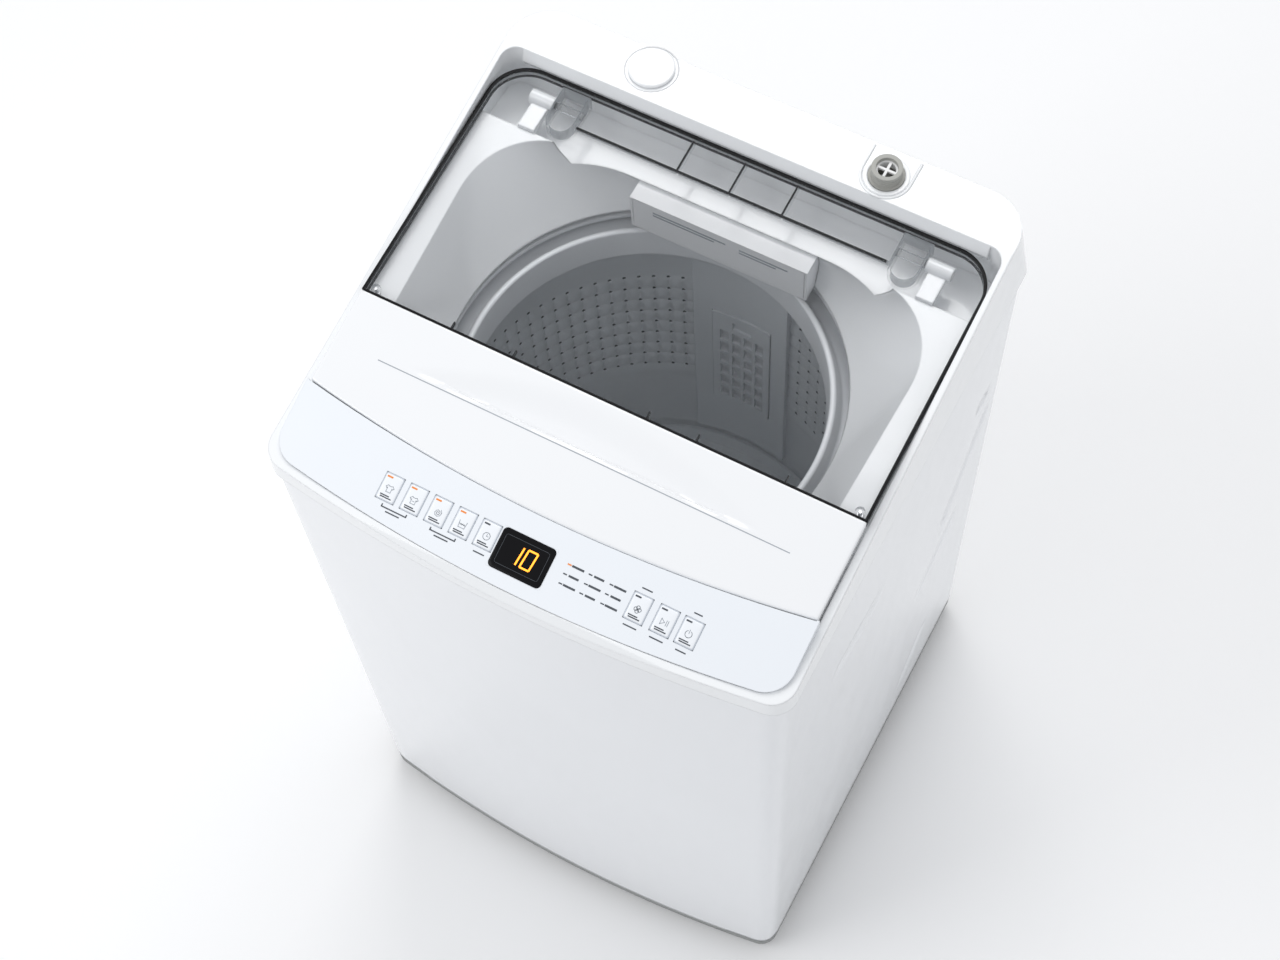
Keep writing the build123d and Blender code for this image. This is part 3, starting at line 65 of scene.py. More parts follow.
# ---------------------------------------------------------------- finishes
class Nodes:
    """A small builder for one material's node tree."""

    def __init__(self, name: str) -> None:
        """Starts an empty material with a Principled shader.

        Args:
            name: the material's name.
        """
        self.material = bpy.data.materials.new(name)
        self.material.use_nodes = True
        self.tree = self.material.node_tree
        self.tree.nodes.clear()
        self.out = self.tree.nodes.new("ShaderNodeOutputMaterial")
        self.shader = self.tree.nodes.new("ShaderNodeBsdfPrincipled")
        self.link(self.shader, 0, self.out, "Surface")

    def add(self, kind: str, **values: object) -> bpy.types.Node:
        """Adds a node and sets its attributes and inputs.

        Args:
            kind: the node type without its ShaderNode prefix.
            **values: attribute names, or input names with spaces written as underscores.

        Returns:
            The new node.
        """
        node = self.tree.nodes.new("ShaderNode" + kind)
        for key, value in values.items():
            if hasattr(node, key):
                setattr(node, key, value)
            else:
                node.inputs[key.replace("_", " ")].default_value = value
        return node

    def link(self, a: bpy.types.Node, out: int | str, b: bpy.types.Node, into: int | str) -> None:
        """Joins output out of node a to input into of node b."""
        self.tree.links.new(a.outputs[out], b.inputs[into])

    def math(self, op: str, a: tuple, b: tuple | float = 0.0) -> bpy.types.Node:
        """Adds a Math node.

        Args:
            op: the operation's name.
            a: (node, output) for the first term.
            b: (node, output) or a number for the second term.

        Returns:
            The new node.
        """
        node = self.add("Math", operation=op)
        self.link(a[0], a[1], node, 0)
        if isinstance(b, tuple):
            self.link(b[0], b[1], node, 1)
        else:
            node.inputs[1].default_value = b
        return node

    def noise(self, coords: tuple, scale: float, detail: float = 3.0,
              stretch: Colour = (1.0, 1.0, 1.0)) -> bpy.types.Node:
        """Adds a noise texture on stretched coordinates.

        Args:
            coords: (node, output) that gives the coordinates.
            scale: features to a metre, about.
            detail: octaves.
            stretch: factors on the three axes.

        Returns:
            The noise node.
        """
        place = self.add("Mapping")
        place.inputs["Scale"].default_value = stretch
        self.link(coords[0], coords[1], place, "Vector")
        noise = self.add("TexNoise", Scale=scale, Detail=detail)
        self.link(place, 0, noise, "Vector")
        return noise

    def blend(self, factor: tuple, a: Colour, b: Colour) -> bpy.types.Node:
        """Adds a colour mix from a to b by factor (node, output)."""
        mix = self.add("Mix", data_type="RGBA")
        mix.inputs[6].default_value = (*a, 1.0)
        mix.inputs[7].default_value = (*b, 1.0)
        self.link(factor[0], factor[1], mix, 0)
        return mix

    def ranged(self, source: tuple, low: float, high: float, start: float = 0.3,
               end: float = 0.7) -> bpy.types.Node:
        """Maps source from start..end to low..high, clamped."""
        node = self.add("MapRange", clamp=True)
        for index, value in zip((1, 2, 3, 4), (start, end, low, high)):
            node.inputs[index].default_value = value
        self.link(source[0], source[1], node, 0)
        return node

    def bump(self, height: tuple, strength: float, distance: float, edge: float) -> None:
        """Sends a bump with softened edges to the shader's normal.

        Args:
            height: (node, output) of the height pattern.
            strength: bump strength.
            distance: height of the pattern in metres.
            edge: radius that the edges seem rounded by, in metres.
        """
        node = self.add("Bump", Strength=strength, Distance=distance)
        self.link(height[0], height[1], node, "Height")
        if edge > 0:
            soft = self.add("Bevel", samples=4, Radius=edge)
            self.link(soft, 0, node, "Normal")
        self.link(node, 0, self.shader, "Normal")


def tint(colour: Colour, factor: float) -> Colour:
    """A colour times a factor, kept under 1."""
    return tuple(min(1.0, c * factor) for c in colour)


@dataclass(frozen=True)
class Moulded:
    """Moulded plastic: faint flow mottling, fine grain, handling haze in the gloss, soft edges."""

    name: str
    colour: Colour
    roughness: float = 0.3
    grain: float = 900.0
    grain_depth: float = 0.00001
    mottle: float = 0.985
    coat: float = 0.0
    edge: float = 0.0012
    haze: float = 0.08
    ior: float = 1.5

    def make(self) -> bpy.types.Material:
        """Builds the material.

        Returns:
            The material.
        """
        n = Nodes(self.name)
        coords = (n.add("TexCoord"), "Object")
        flow = n.noise(coords, 7.0, 4.0, (1.0, 1.0, 0.5))
        mix = n.blend((flow, 0), self.colour, tint(self.colour, self.mottle))
        dust = n.noise(coords, 160.0, 5.0)
        specks = n.ranged((dust, 0), 0.0, 0.2, 0.7, 0.85)
        aged = n.add("Mix", data_type="RGBA")
        n.link(specks, 0, aged, 0)
        n.link(mix, 2, aged, 6)
        aged.inputs[7].default_value = (*tint(self.colour, self.mottle * 0.96), 1.0)
        n.link(aged, 2, n.shader, "Base Color")
        hands = n.noise(coords, 22.0, 5.0)
        n.link(n.ranged((hands, 0), self.roughness, self.roughness + self.haze), 0, n.shader, "Roughness")
        n.shader.inputs["Coat Weight"].default_value = self.coat
        n.shader.inputs["Coat Roughness"].default_value = 0.06
        n.shader.inputs["IOR"].default_value = self.ior
        fine = n.noise(coords, self.grain, 2.0)
        n.bump((fine, 0), 0.5, self.grain_depth, self.edge)
        return n.material


@dataclass(frozen=True)
class Painted:
    """Enamelled sheet steel: orange peel, a clear coat, slight unevenness of the paint."""

    name: str
    colour: Colour
    roughness: float = 0.18
    peel: float = 90.0
    peel_depth: float = 0.000008
    edge: float = 0.001

    def make(self) -> bpy.types.Material:
        """Builds the material.

        Returns:
            The material.
        """
        n = Nodes(self.name)
        coords = (n.add("TexCoord"), "Object")
        film = n.noise(coords, 4.0, 3.0)
        mix = n.blend((film, 0), self.colour, tint(self.colour, 0.965))
        n.link(mix, 2, n.shader, "Base Color")
        wipe = n.noise(coords, 14.0, 4.0, (1.0, 1.0, 0.35))
        n.link(n.ranged((wipe, 0), self.roughness, self.roughness + 0.07), 0, n.shader, "Roughness")
        n.shader.inputs["Coat Weight"].default_value = 0.35
        n.shader.inputs["Coat Roughness"].default_value = 0.08
        peel = n.noise(coords, self.peel, 1.5)
        n.bump((peel, 0), 0.35, self.peel_depth, self.edge)
        return n.material


class Lay(Enum):
    """The way that a metal's fine marks run."""

    UPRIGHT = (1.0, 1.0, 0.02)
    ACROSS = (0.02, 1.0, 1.0)
    NONE = (1.0, 1.0, 1.0)


@dataclass(frozen=True)
class Metal:
    """Bare metal with brushing or cast grain, stains in the gloss and a bright or dull base."""

    name: str
    colour: Colour
    roughness: float = 0.28
    lay: Lay = Lay.NONE
    grain: float = 1400.0
    grain_depth: float = 0.00003
    metallic: float = 1.0
    edge: float = 0.0005

    def make(self) -> bpy.types.Material:
        """Builds the material.

        Returns:
            The material.
        """
        n = Nodes(self.name)
        coords = (n.add("TexCoord"), "Object")
        stain = n.noise(coords, 18.0, 5.0)
        mix = n.blend((stain, 0), self.colour, tint(self.colour, 0.82))
        n.link(mix, 2, n.shader, "Base Color")
        n.shader.inputs["Metallic"].default_value = self.metallic
        brush = n.noise(coords, self.grain, 3.0, self.lay.value)
        n.link(n.ranged((brush, 0), self.roughness, self.roughness + 0.14), 0, n.shader, "Roughness")
        n.bump((brush, 0), 0.5, self.grain_depth, self.edge)
        return n.material


@dataclass(frozen=True)
class Clear:
    """Clear moulded acrylic with a light smoke tint, brighter in its gloss at grazing angles."""

    name: str
    colour: Colour
    film: float = 0.03
    rim: float = 0.7

    def make(self) -> bpy.types.Material:
        """Builds the material.

        Returns:
            The material.
        """
        n = Nodes(self.name)
        coords = (n.add("TexCoord"), "Object")
        cloud = n.noise(coords, 6.0, 3.0)
        mix = n.blend((cloud, 0), self.colour, tint(self.colour, 0.9))
        n.link(mix, 2, n.shader, "Base Color")
        facing = n.add("Fresnel", IOR=1.3)
        n.link(n.ranged((facing, 0), self.film, self.rim, 0.03, 0.8), 0, n.shader, "Alpha")
        wipe = n.noise(coords, 30.0, 4.0)
        n.link(n.ranged((wipe, 0), 0.03, 0.09), 0, n.shader, "Roughness")
        n.shader.inputs["IOR"].default_value = 1.49
        ripple = n.noise(coords, 26.0, 1.0)
        n.bump((ripple, 0), 0.2, 0.0001, 0.0)
        return n.material


@dataclass(frozen=True)
class DrumSteel:
    """Stainless drum sheet with a drain hole at each corner of the dimples; the holes are painted near black,
    as the shade seen through them.
    """

    name: str
    colour: Colour
    pitch: tuple[float, float]
    rows: int
    hole: float = 0.0019

    def make(self) -> bpy.types.Material:
        """Builds the material. The piece's UV counts dimples round and up the wall.

        Returns:
            The material.
        """
        n = Nodes(self.name)
        coords = (n.add("TexCoord"), "Object")
        uv = n.add("UVMap", uv_map="dimples")
        parts = n.add("SeparateXYZ")
        n.link(uv, 0, parts, 0)
        terms = []
        for axis, pitch in enumerate(self.pitch):
            whole = n.math("ROUND", (parts, axis))
            away = n.math("SUBTRACT", (parts, axis), (whole, 0))
            size = n.math("MULTIPLY", (away, 0), pitch)
            terms.append(n.math("MULTIPLY", (size, 0), (size, 0)))
        away = n.math("SQRT", (n.math("ADD", (terms[0], 0), (terms[1], 0)), 0))
        open_hole = n.ranged((away, 0), 1.0, 0.0, self.hole * 0.8, self.hole * 1.2)
        above = n.math("GREATER_THAN", (parts, 1), -0.2)
        below = n.math("LESS_THAN", (parts, 1), self.rows + 0.2)
        band = n.math("MULTIPLY", (above, 0), (below, 0))
        hole_shade_mask = n.math("MULTIPLY", (open_hole, 0), (band, 0))
        stain = n.noise(coords, 12.0, 4.0)
        mix = n.blend((stain, 0), self.colour, tint(self.colour, 0.86))
        # Painted shade: the holes are near black for the dark gap seen through them.
        dark = n.add("Mix", data_type="RGBA")
        n.link(hole_shade_mask, 0, dark, 0)
        n.link(mix, 2, dark, 6)
        dark.inputs[7].default_value = (0.01, 0.01, 0.012, 1.0)
        n.link(dark, 2, n.shader, "Base Color")
        n.shader.inputs["Metallic"].default_value = 0.55
        brush = n.noise(coords, 1200.0, 2.0, (1.0, 1.0, 0.03))
        n.link(n.ranged((brush, 0), 0.3, 0.42), 0, n.shader, "Roughness")
        n.bump((brush, 0), 0.4, 0.00003, 0.0)
        return n.material


@dataclass(frozen=True)
class Weave:
    """Fine square netting, see-through between its threads."""

    name: str
    colour: Colour
    threads: float = 700.0

    def make(self) -> bpy.types.Material:
        """Builds the material on the piece's UV map, in metres.

        Returns:
            The material.
        """
        n = Nodes(self.name)
        uv = n.add("UVMap", uv_map="net")
        parts = n.add("SeparateXYZ")
        n.link(uv, 0, parts, 0)
        waves = []
        for axis in (0, 1):
            turn = n.math("MULTIPLY", (parts, axis), self.threads * math.tau)
            waves.append(n.math("SINE", (turn, 0)))
        high = n.math("MAXIMUM", (waves[0], 0), (waves[1], 0))
        n.link(n.ranged((high, 0), 0.25, 1.0, 0.2, 0.6), 0, n.shader, "Alpha")
        mix = n.blend((high, 0), tint(self.colour, 0.8), self.colour)
        n.link(mix, 2, n.shader, "Base Color")
        n.shader.inputs["Roughness"].default_value = 0.7
        n.bump((high, 0), 0.6, 0.0002, 0.0)
        return n.material


@dataclass(frozen=True)
class Glow:
    """Lit digits behind a lens: a coloured emitter with uneven brightness."""

    name: str
    colour: Colour
    power: float = 2.2

    def make(self) -> bpy.types.Material:
        """Builds the material.

        Returns:
            The material.
        """
        n = Nodes(self.name)
        coords = (n.add("TexCoord"), "Object")
        uneven = n.noise(coords, 260.0, 2.0)
        mix = n.blend((uneven, 0), self.colour, tint(self.colour, 0.8))
        n.link(mix, 2, n.shader, "Base Color")
        n.link(mix, 2, n.shader, "Emission Color")
        n.shader.inputs["Emission Strength"].default_value = self.power
        n.shader.inputs["Roughness"].default_value = 0.4
        return n.material


WHITE: Colour = (0.86, 0.875, 0.89)
LOOKS = (
    Moulded("cover_white", WHITE, 0.18, coat=0.5, edge=0.0026, haze=0.07),
    Moulded("front_white", (0.84, 0.85, 0.865), 0.18, coat=0.5, edge=0.0016, haze=0.07),
    Moulded("panel_white", (0.81, 0.84, 0.88), 0.29, coat=0.3, edge=0.0012),
    Painted("cabinet_white", (0.84, 0.855, 0.88), edge=0.0),
    Clear("clear_smoke", (0.6, 0.63, 0.66)),
    Moulded("lens_black", (0.006, 0.006, 0.007), 0.08, mottle=0.9, grain_depth=0.000002, ior=1.2),
    Moulded("base_grey", (0.26, 0.27, 0.265), 0.5, grain=500.0, grain_depth=0.00012),
    Moulded("foot_rubber", (0.03, 0.03, 0.032), 0.7, grain=420.0, grain_depth=0.00015),
    Metal("rear_zinc", (0.66, 0.68, 0.7), 0.36, Lay.NONE, 60.0, 0.00002),
    Metal("screw_steel", (0.7, 0.71, 0.73), 0.24, Lay.UPRIGHT),
    Metal("bearing_steel", (0.76, 0.77, 0.79), 0.16, Lay.UPRIGHT),
    Moulded("ring_grey", (0.74, 0.76, 0.785), 0.3, coat=0.2, edge=0.0015),
    Moulded("channel_grey", (0.66, 0.69, 0.72), 0.36, edge=0.001),
    Moulded("pulsator_grey", (0.68, 0.71, 0.74), 0.29, coat=0.4, edge=0.0015),
    Moulded("tub_plastic", (0.6, 0.61, 0.6), 0.45, mottle=0.92),
    Moulded("nozzle_grey", (0.36, 0.36, 0.335), 0.42, mottle=0.9, edge=0.0006),
    Moulded("filter_white", (0.8, 0.8, 0.8), 0.4, edge=0.0004),
    Moulded("inner_white", (0.87, 0.88, 0.895), 0.32, edge=0.0012),
    Moulded("valve_white", (0.68, 0.68, 0.64), 0.5, mottle=0.93),
    Moulded("black_plastic", (0.025, 0.025, 0.028), 0.45, grain=600.0, grain_depth=0.0001),
    Moulded("seal_rubber", (0.02, 0.02, 0.021), 0.75, grain=500.0, grain_depth=0.00012),
    Moulded("board_green", (0.02, 0.12, 0.06), 0.35, mottle=0.8),
    Metal("cast_metal", (0.5, 0.51, 0.52), 0.5, Lay.NONE, 350.0, 0.0002, 0.9, 0.001),
    Metal("pulley_metal", (0.62, 0.63, 0.64), 0.34, Lay.ACROSS),
    Metal("motor_metal", (0.25, 0.26, 0.27), 0.42, Lay.ACROSS, 700.0, 0.00008, 0.8),
    DrumSteel("drum_steel", (0.8, 0.82, 0.84), (0.01505, 0.02275), 8),
    Moulded("print_dark", (0.065, 0.075, 0.09), 0.45, mottle=0.85, edge=0.0, grain_depth=0.00001),
    # Silver grey print on the keys and drawer labels; on the lid the same finish is the painted shade of the
    # grip slot.
    Moulded("print_silver", (0.33, 0.36, 0.4), 0.35, mottle=0.9, edge=0.0, grain_depth=0.00001),
    Moulded("print_orange", (0.87, 0.25, 0.02), 0.4, mottle=0.9, edge=0.0, grain_depth=0.00001),
    Moulded("key_white", (0.84, 0.865, 0.9), 0.29, coat=0.3, edge=0.0),
    # Painted shade: the pale grey edges and lips round the keys stand for the soft shadow at the keys'
    # outlines.
    Moulded("key_rim", (0.6, 0.64, 0.7), 0.3, coat=0.2, mottle=0.9, edge=0.0),
    # Painted shade: near black lines along the clear lid's edges, seam, ribs and gussets stand for the dark
    # look of its thick clear edges.
    Moulded("edge_black", (0.008, 0.008, 0.009), 0.3, mottle=0.8, edge=0.0, ior=1.2),
    Weave("filter_net", (0.75, 0.77, 0.8)),
    Glow("digit_glow", (1.0, 0.3, 0.02)),
)
FINISHES = {look.name: look for look in LOOKS}
MADE: dict[str, bpy.types.Material] = {}


def finish(name: str) -> bpy.types.Material:
    """The material of a named finish, made on first use."""
    if name not in MADE:
        MADE[name] = FINISHES[name].make()
    return MADE[name]


# ---------------------------------------------------------------- surfaces
def grid_faces(rows: int, cols: int, wrap_rows: bool, wrap_cols: bool) -> Array:
    """Quads over a rows x cols grid of points, as indices.

    Args:
        rows: number of rows.
        cols: number of columns.
        wrap_rows: whether the last row joins the first.
        wrap_cols: whether the last column joins the first.

    Returns:
        An array of shape (faces, 4).
    """
    r = np.arange(rows if wrap_rows else rows - 1)[:, None]
    c = np.arange(cols if wrap_cols else cols - 1)[None, :]
    r2, c2 = (r + 1) % rows, (c + 1) % cols
    return np.stack([r * cols + c, r * cols + c2, r2 * cols + c2, r2 * cols + c], axis=-1).reshape(-1, 4)


def piece(name: str, points: Array, faces: Array, look: str, body: str, slot: str,
          uv: Array | None = None, uv_name: str = "map", keep_open: bool = False) -> bpy.types.Object:
    """Makes one object from points and quads, closes its seams and dresses it.

    Args:
        name: the piece's name.
        points: array of shape (n, 3), metres.
        faces: array of shape (m, 4).
        look: the finish.
        body: the CAD body it rides on.
        slot: the record's material slot; not used.
        uv: one (u, v) to a point, if the finish needs it.
        uv_name: the name of that map.
        keep_open: whether the surface is a sheet whose facing is already right.

    Returns:
        The object.
    """
    mesh = bpy.data.meshes.new(name)
    mesh.from_pydata(points.reshape(-1, 3).tolist(), [], faces.tolist())
    if uv is not None:
        layer = mesh.uv_layers.new(name=uv_name)
        corner = np.empty(len(mesh.loops), np.int32)
        mesh.loops.foreach_get("vertex_index", corner)
        layer.data.foreach_set("uv", uv.reshape(-1, 2)[corner].astype(np.float32).ravel())
    work = bmesh.new()
    work.from_mesh(mesh)
    bmesh.ops.remove_doubles(work, verts=work.verts, dist=2e-6)
    bmesh.ops.dissolve_degenerate(work, edges=work.edges, dist=1e-7)
    if not keep_open:
        bmesh.ops.recalc_face_normals(work, faces=work.faces)
    work.to_mesh(mesh)
    work.free()
    mesh.polygons.foreach_set("use_smooth", np.ones(len(mesh.polygons), bool))
    mesh.set_sharp_from_angle(angle=math.radians(38))
    mesh.materials.append(finish(look))
    thing = bpy.data.objects.new(name, mesh)
    bpy.context.scene.collection.objects.link(thing)
    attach(thing, body)
    return thing


def softened(points: Sequence[tuple[float, float]], radius: float, steps: int = 4,
             closed: bool = True) -> Array:
    """A polyline whose corners are eased.

    Each corner P becomes a short parabola from a point radius before it to a point radius after it,
    B(t) = (1-t)^2 A + 2t(1-t) P + t^2 C, or less where the sides are short.

    Args:
        points: the corners.
        radius: how far the easing reaches along each side.
        steps: points to a corner, less one.
        closed: whether the line is closed.

    Returns:
        An array of shape (n, 2).
    """
    p = np.asarray(points, float)
    before, after = np.roll(p, 1, 0) - p, np.roll(p, -1, 0) - p
    lb, la = np.linalg.norm(before, axis=1), np.linalg.norm(after, axis=1)
    reach = np.minimum(radius, 0.45 * np.minimum(lb, la))
    a = p + before * (reach / lb)[:, None]
    c = p + after * (reach / la)[:, None]
    t = np.linspace(0, 1, steps + 1)[None, :, None]
    eased = (1 - t) ** 2 * a[:, None] + 2 * t * (1 - t) * p[:, None] + t ** 2 * c[:, None]
    if not closed:
        eased[0], eased[-1] = p[0], p[-1]
    return eased.reshape(-1, 2)


def lathe(profile: Array, centre: tuple[float, float], steps: int = 96) -> tuple[Array, Array]:
    """A closed (radius, z) profile turned about an upright axis.

    The point at turn a is (cx + r cos a, cy + r sin a, z).

    Args:
        profile: array of shape (n, 2), closed, or with its ends on the axis.
        centre: the axis in plan.
        steps: points round.

    Returns:
        Points of shape (steps * n, 3), and faces.
    """
    turn = np.linspace(0, math.tau, steps, endpoint=False)[:, None]
    r, z = profile[None, :, 0], profile[None, :, 1] + 0 * turn
    points = np.stack([centre[0] + r * np.cos(turn), centre[1] + r * np.sin(turn), z], -1)
    return points.reshape(-1, 3), grid_faces(steps, profile.shape[0], True, True)


def sweep(path: Array, section: Array) -> tuple[Array, Array]:
    """A section carried along a path: P(s, k) = path(s) + side(s) a(k) + up b(k).

    The side is the path's tangent crossed with up, which is Z, so the section stays upright.

    Args:
        path: points of shape (n, 3).
        section: closed (sideways, upwards) outline of shape (m, 2).

    Returns:
        Points and faces; each end is capped by a collapsed ring.
    """
    up = np.array([0.0, 0.0, 1.0])
    ahead = np.roll(path, -1, 0) - np.roll(path, 1, 0)
    ahead[0], ahead[-1] = path[1] - path[0], path[-1] - path[-2]
    side = np.cross(ahead, up)
    side /= np.linalg.norm(side, axis=1)[:, None]
    rings = path[:, None] + side[:, None] * section[None, :, :1] + up * section[None, :, 1:]
    ends = [np.broadcast_to(rings[i].mean(0), rings[i].shape)[None] for i in (0, -1)]
    rings = np.concatenate([ends[0], rings, ends[1]])
    return rings.reshape(-1, 3), grid_faces(rings.shape[0], section.shape[0], False, True)


def joined(parts: Sequence[tuple[Array, Array]]) -> tuple[Array, Array]:
    """Several (points, faces) as one."""
    offsets = np.cumsum([0] + [len(p) for p, _ in parts[:-1]])
    return np.concatenate([p for p, _ in parts]), np.concatenate([f + o for (_, f), o in zip(parts, offsets)])


def rounded_outline(half_x: float, half_y: float, radius: float, inset: float, steps: int = 6) -> Array:
    """A rounded rectangle drawn inside itself by inset.

    Each quarter is centre + radius (cos a, sin a), with the centre at half size less the radius.

    Args:
        half_x: half width.
        half_y: half length.
        radius: corner radius.
        inset: distance inwards.
        steps: points to a corner, less one.

    Returns:
        An array of shape (4 (steps + 1), 2), counter-clockwise.
    """
    r = max(radius - inset, 0.0002)
    hx, hy = max(half_x - inset, r), max(half_y - inset, r)
    a = np.linspace(0, math.pi / 2, steps + 1)
    quarters = [np.stack([sx * (hx - r) + r * np.cos(a + q), sy * (hy - r) + r * np.sin(a + q)], -1)
                for q, sx, sy in ((0, 1, 1), (math.pi / 2, -1, 1), (math.pi, -1, -1), (1.5 * math.pi, 1, -1))]
    return np.concatenate(quarters)


def ring_cap(outline: Callable[[float], Array], steps: Sequence[tuple[float, float]]) -> tuple[Array, Array]:
    """A cap made of rings, each an outline drawn inside itself and raised.

    Ring k is outline(inset k) at height k; the last ring closes on its own middle.

    Args:
        outline: gives the outline at an inset.
        steps: (inset, height) from the foot of the skirt, over the edge, to the middle.

    Returns:
        Points in the cap's own axes, and faces.
    """
    rings = [np.column_stack([outline(i), np.full(len(outline(i)), h)]) for i, h in steps]
    rings.append(np.broadcast_to(rings[-1].mean(0), rings[-1].shape))
    rings.insert(0, np.broadcast_to(np.append(rings[0][:, :2].mean(0), steps[0][1]), rings[0].shape))
    points = np.stack(rings)
    return points.reshape(-1, 3), grid_faces(points.shape[0], points.shape[1], False, True)


def strokes(lines: Sequence[Sequence[tuple[float, float]]], width: float,
            thick: float) -> tuple[Array, Array]:
    """Flat strokes with a little thickness along polylines in a plane.

    Each side of a segment becomes a thin box: its ends reach half a width past the points, so that
    corners close.

    Args:
        lines: polylines of (x, y).
        width: stroke width.
        thick: stroke thickness.

    Returns:
        Points in the plane's axes, and faces.
    """
    parts = []
    for line in lines:
        p = np.asarray(line, float)
        ahead = np.diff(p, axis=0)
        length = np.linalg.norm(ahead, axis=1)[:, None]
        ahead = ahead / np.maximum(length, 1e-9)
        side = np.stack([-ahead[:, 1], ahead[:, 0]], -1) * width / 2
        a, b = p[:-1] - ahead * width * 0.45, p[1:] + ahead * width * 0.45
        flat = np.stack([a - side, b - side, b + side, a + side], 1)
        low = np.concatenate([flat, np.zeros((*flat.shape[:2], 1))], -1)
        box = np.concatenate([low, low + np.array([0, 0, thick])], 1)
        shape = np.array([[0, 3, 2, 1], [4, 5, 6, 7], [0, 1, 5, 4], [1, 2, 6, 5], [2, 3, 7, 6], [3, 0, 4, 7]])
        faces = (shape[None] + 8 * np.arange(len(box))[:, None, None]).reshape(-1, 4)
        parts.append((box.reshape(-1, 3), faces))
    return joined(parts)


def bar(x: float, y: float, w: float) -> list[tuple[float, float]]:
    """A short level stroke centred on (x, y)."""
    return [(x - w / 2, y), (x + w / 2, y)]


def ringed(x: float, y: float, r: float, start: float = 0.0, end: float = 360.0, count: int = 20) -> list:
    """Points on an arc, (x + r cos a, y + r sin a), from start to end degrees."""
    a = np.radians(np.linspace(start, end, count))
    return np.column_stack([x + r * np.cos(a), y + r * np.sin(a)]).tolist()


@dataclass(frozen=True)
class Slope:
    """The key panel's plane: its upper edge, and how it falls to the front."""

    y: float = -0.1851
    z: float = 0.86417
    degrees: float = 16.6

    def place(self, local: Array) -> Array:
        """Turns (across, up the slope, out of it) into the frame's axes.

        Args:
            local: array of shape (n, 3).

        Returns:
            Points of the same shape.
        """
        c, s = math.cos(math.radians(self.degrees)), math.sin(math.radians(self.degrees))
        x, v, h = local[:, 0], local[:, 1], local[:, 2]
        return np.column_stack([x, self.y + v * c - h * s, self.z + v * s + h * c])


SLOPE = Slope()


def middle(node: str) -> Array:
    """The middle of a CAD node's box."""
    low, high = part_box(node)
    return (np.array(low) + np.array(high)) / 2


# ---------------------------------------------------------------- cabinet
@dataclass
class CabinetShell:
    """The painted front and side sheets, with the pressed creases of the sides."""

    half: float = 0.257
    front: float = -0.2609
    rear: float = 0.2585
    bow: float = 0.0208
    flange: float = 0.02
    sheet: float = 0.0012
    drain_r: float = 0.0194
    creases: list = field(default_factory=lambda: [
        ((0.232, 0.572), (0.157, 0.460), 0.0022, 0.0065), ((0.186, 0.404), (0.113, 0.356), 0.0016, 0.008),
        ((-0.030, 0.633), (-0.111, 0.643), 0.0016, 0.008), ((0.149, 0.150), (0.107, 0.097), 0.0016, 0.008),
        ((0.220, 0.629), (0.206, 0.629), 0.0028, 0.005), ((0.157, 0.455), (0.157, 0.465), 0.0024, 0.007)])

    def path(self) -> Array:
        """The outline from one rear flange round the front to the other.

        The front is the arc of the circle through both front corners and the bowed middle:
        y(x) = yc - sqrt(R^2 - x^2).

        Returns:
            An array of shape (n, 2).
        """
        radius = (self.half ** 2 + self.bow ** 2) / (2 * self.bow)
        arc = lambda x: self.front + radius - np.sqrt(radius ** 2 - x ** 2)
        turn = self.half - 0.05
        corner = softened([(-self.half, 0.0), (-self.half, float(arc(self.half))), (-turn, float(arc(turn)))],
                          0.02, 8, False)
        back = softened([(self.flange - self.half, self.rear), (-self.half, self.rear), (-self.half, 0.2)],
                        0.004, 4, False)
        along = np.linspace(0.245, float(arc(self.half)) + 0.024, 80)
        side = np.column_stack([np.full(80, -self.half), along])
        face = np.linspace(-turn + 0.008, 0, 24)
        left = np.concatenate([back[4:10], side, corner[9:18], np.column_stack([face, arc(face)])])
        return np.concatenate([left, left[::-1][1:] * np.array([-1, 1])])

    def build(self) -> bpy.types.Object:
        """Raises the outline and presses the creases into both sides.

        A crease of depth d and width w sinks the side by d exp(-(s/w)^2), where s is the distance
        to the crease's line.

        Returns:
            The shell.
        """
        low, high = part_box("cabinet_panels")
        path = self.path()
        z = np.linspace(low.z, high.z, 134)
        x = np.broadcast_to(path[:, 0][None], (len(z), len(path))).copy()
        y = np.broadcast_to(path[:, 1][None], x.shape).copy()
        zz = np.broadcast_to(z[:, None], x.shape).copy()
        sunk = np.zeros_like(x)
        for a, b, depth, width in self.creases:
            a, b = np.array(a), np.array(b)
            along = np.clip(((y - a[0]) * (b - a)[0] + (zz - a[1]) * (b - a)[1]) / ((b - a) @ (b - a)), 0, 1)
            away = np.hypot(y - a[0] - along * (b - a)[0], zz - a[1] - along * (b - a)[1])
            sunk = np.maximum(sunk, depth * np.exp(-(away / width) ** 2))
        on_side = np.abs(np.abs(x) - self.half) < 1e-5
        x = x - np.sign(x) * sunk * on_side
        drain = middle("drain_outlet")
        dy, dz = y - drain[1], zz - drain[2]
        away = np.maximum(np.hypot(dy, dz), 1e-6)
        near = (x < 0) & on_side & (np.abs(away - self.drain_r) < 0.004)
        y = np.where(near, drain[1] + dy * self.drain_r / away, y)
        zz = np.where(near, drain[2] + dz * self.drain_r / away, zz)
        points = np.stack([x, y, zz], -1)
        faces = grid_faces(*x.shape, False, False)
        mid = points.reshape(-1, 3)[faces].mean(1)
        away = np.hypot(mid[:, 1] - drain[1], mid[:, 2] - drain[2])
        hole = (mid[:, 0] < -self.half + 0.004) & (away < self.drain_r - 0.0002)
        shell = piece("cabinet_shell", points, faces[~hole], "cabinet_white", "cabinet", "cabinet_white",
                      keep_open=True)
        skin = shell.modifiers.new("sheet", "SOLIDIFY")
        skin.thickness, skin.offset = self.sheet, -1.0
        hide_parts("cabinet_panels")
        return shell


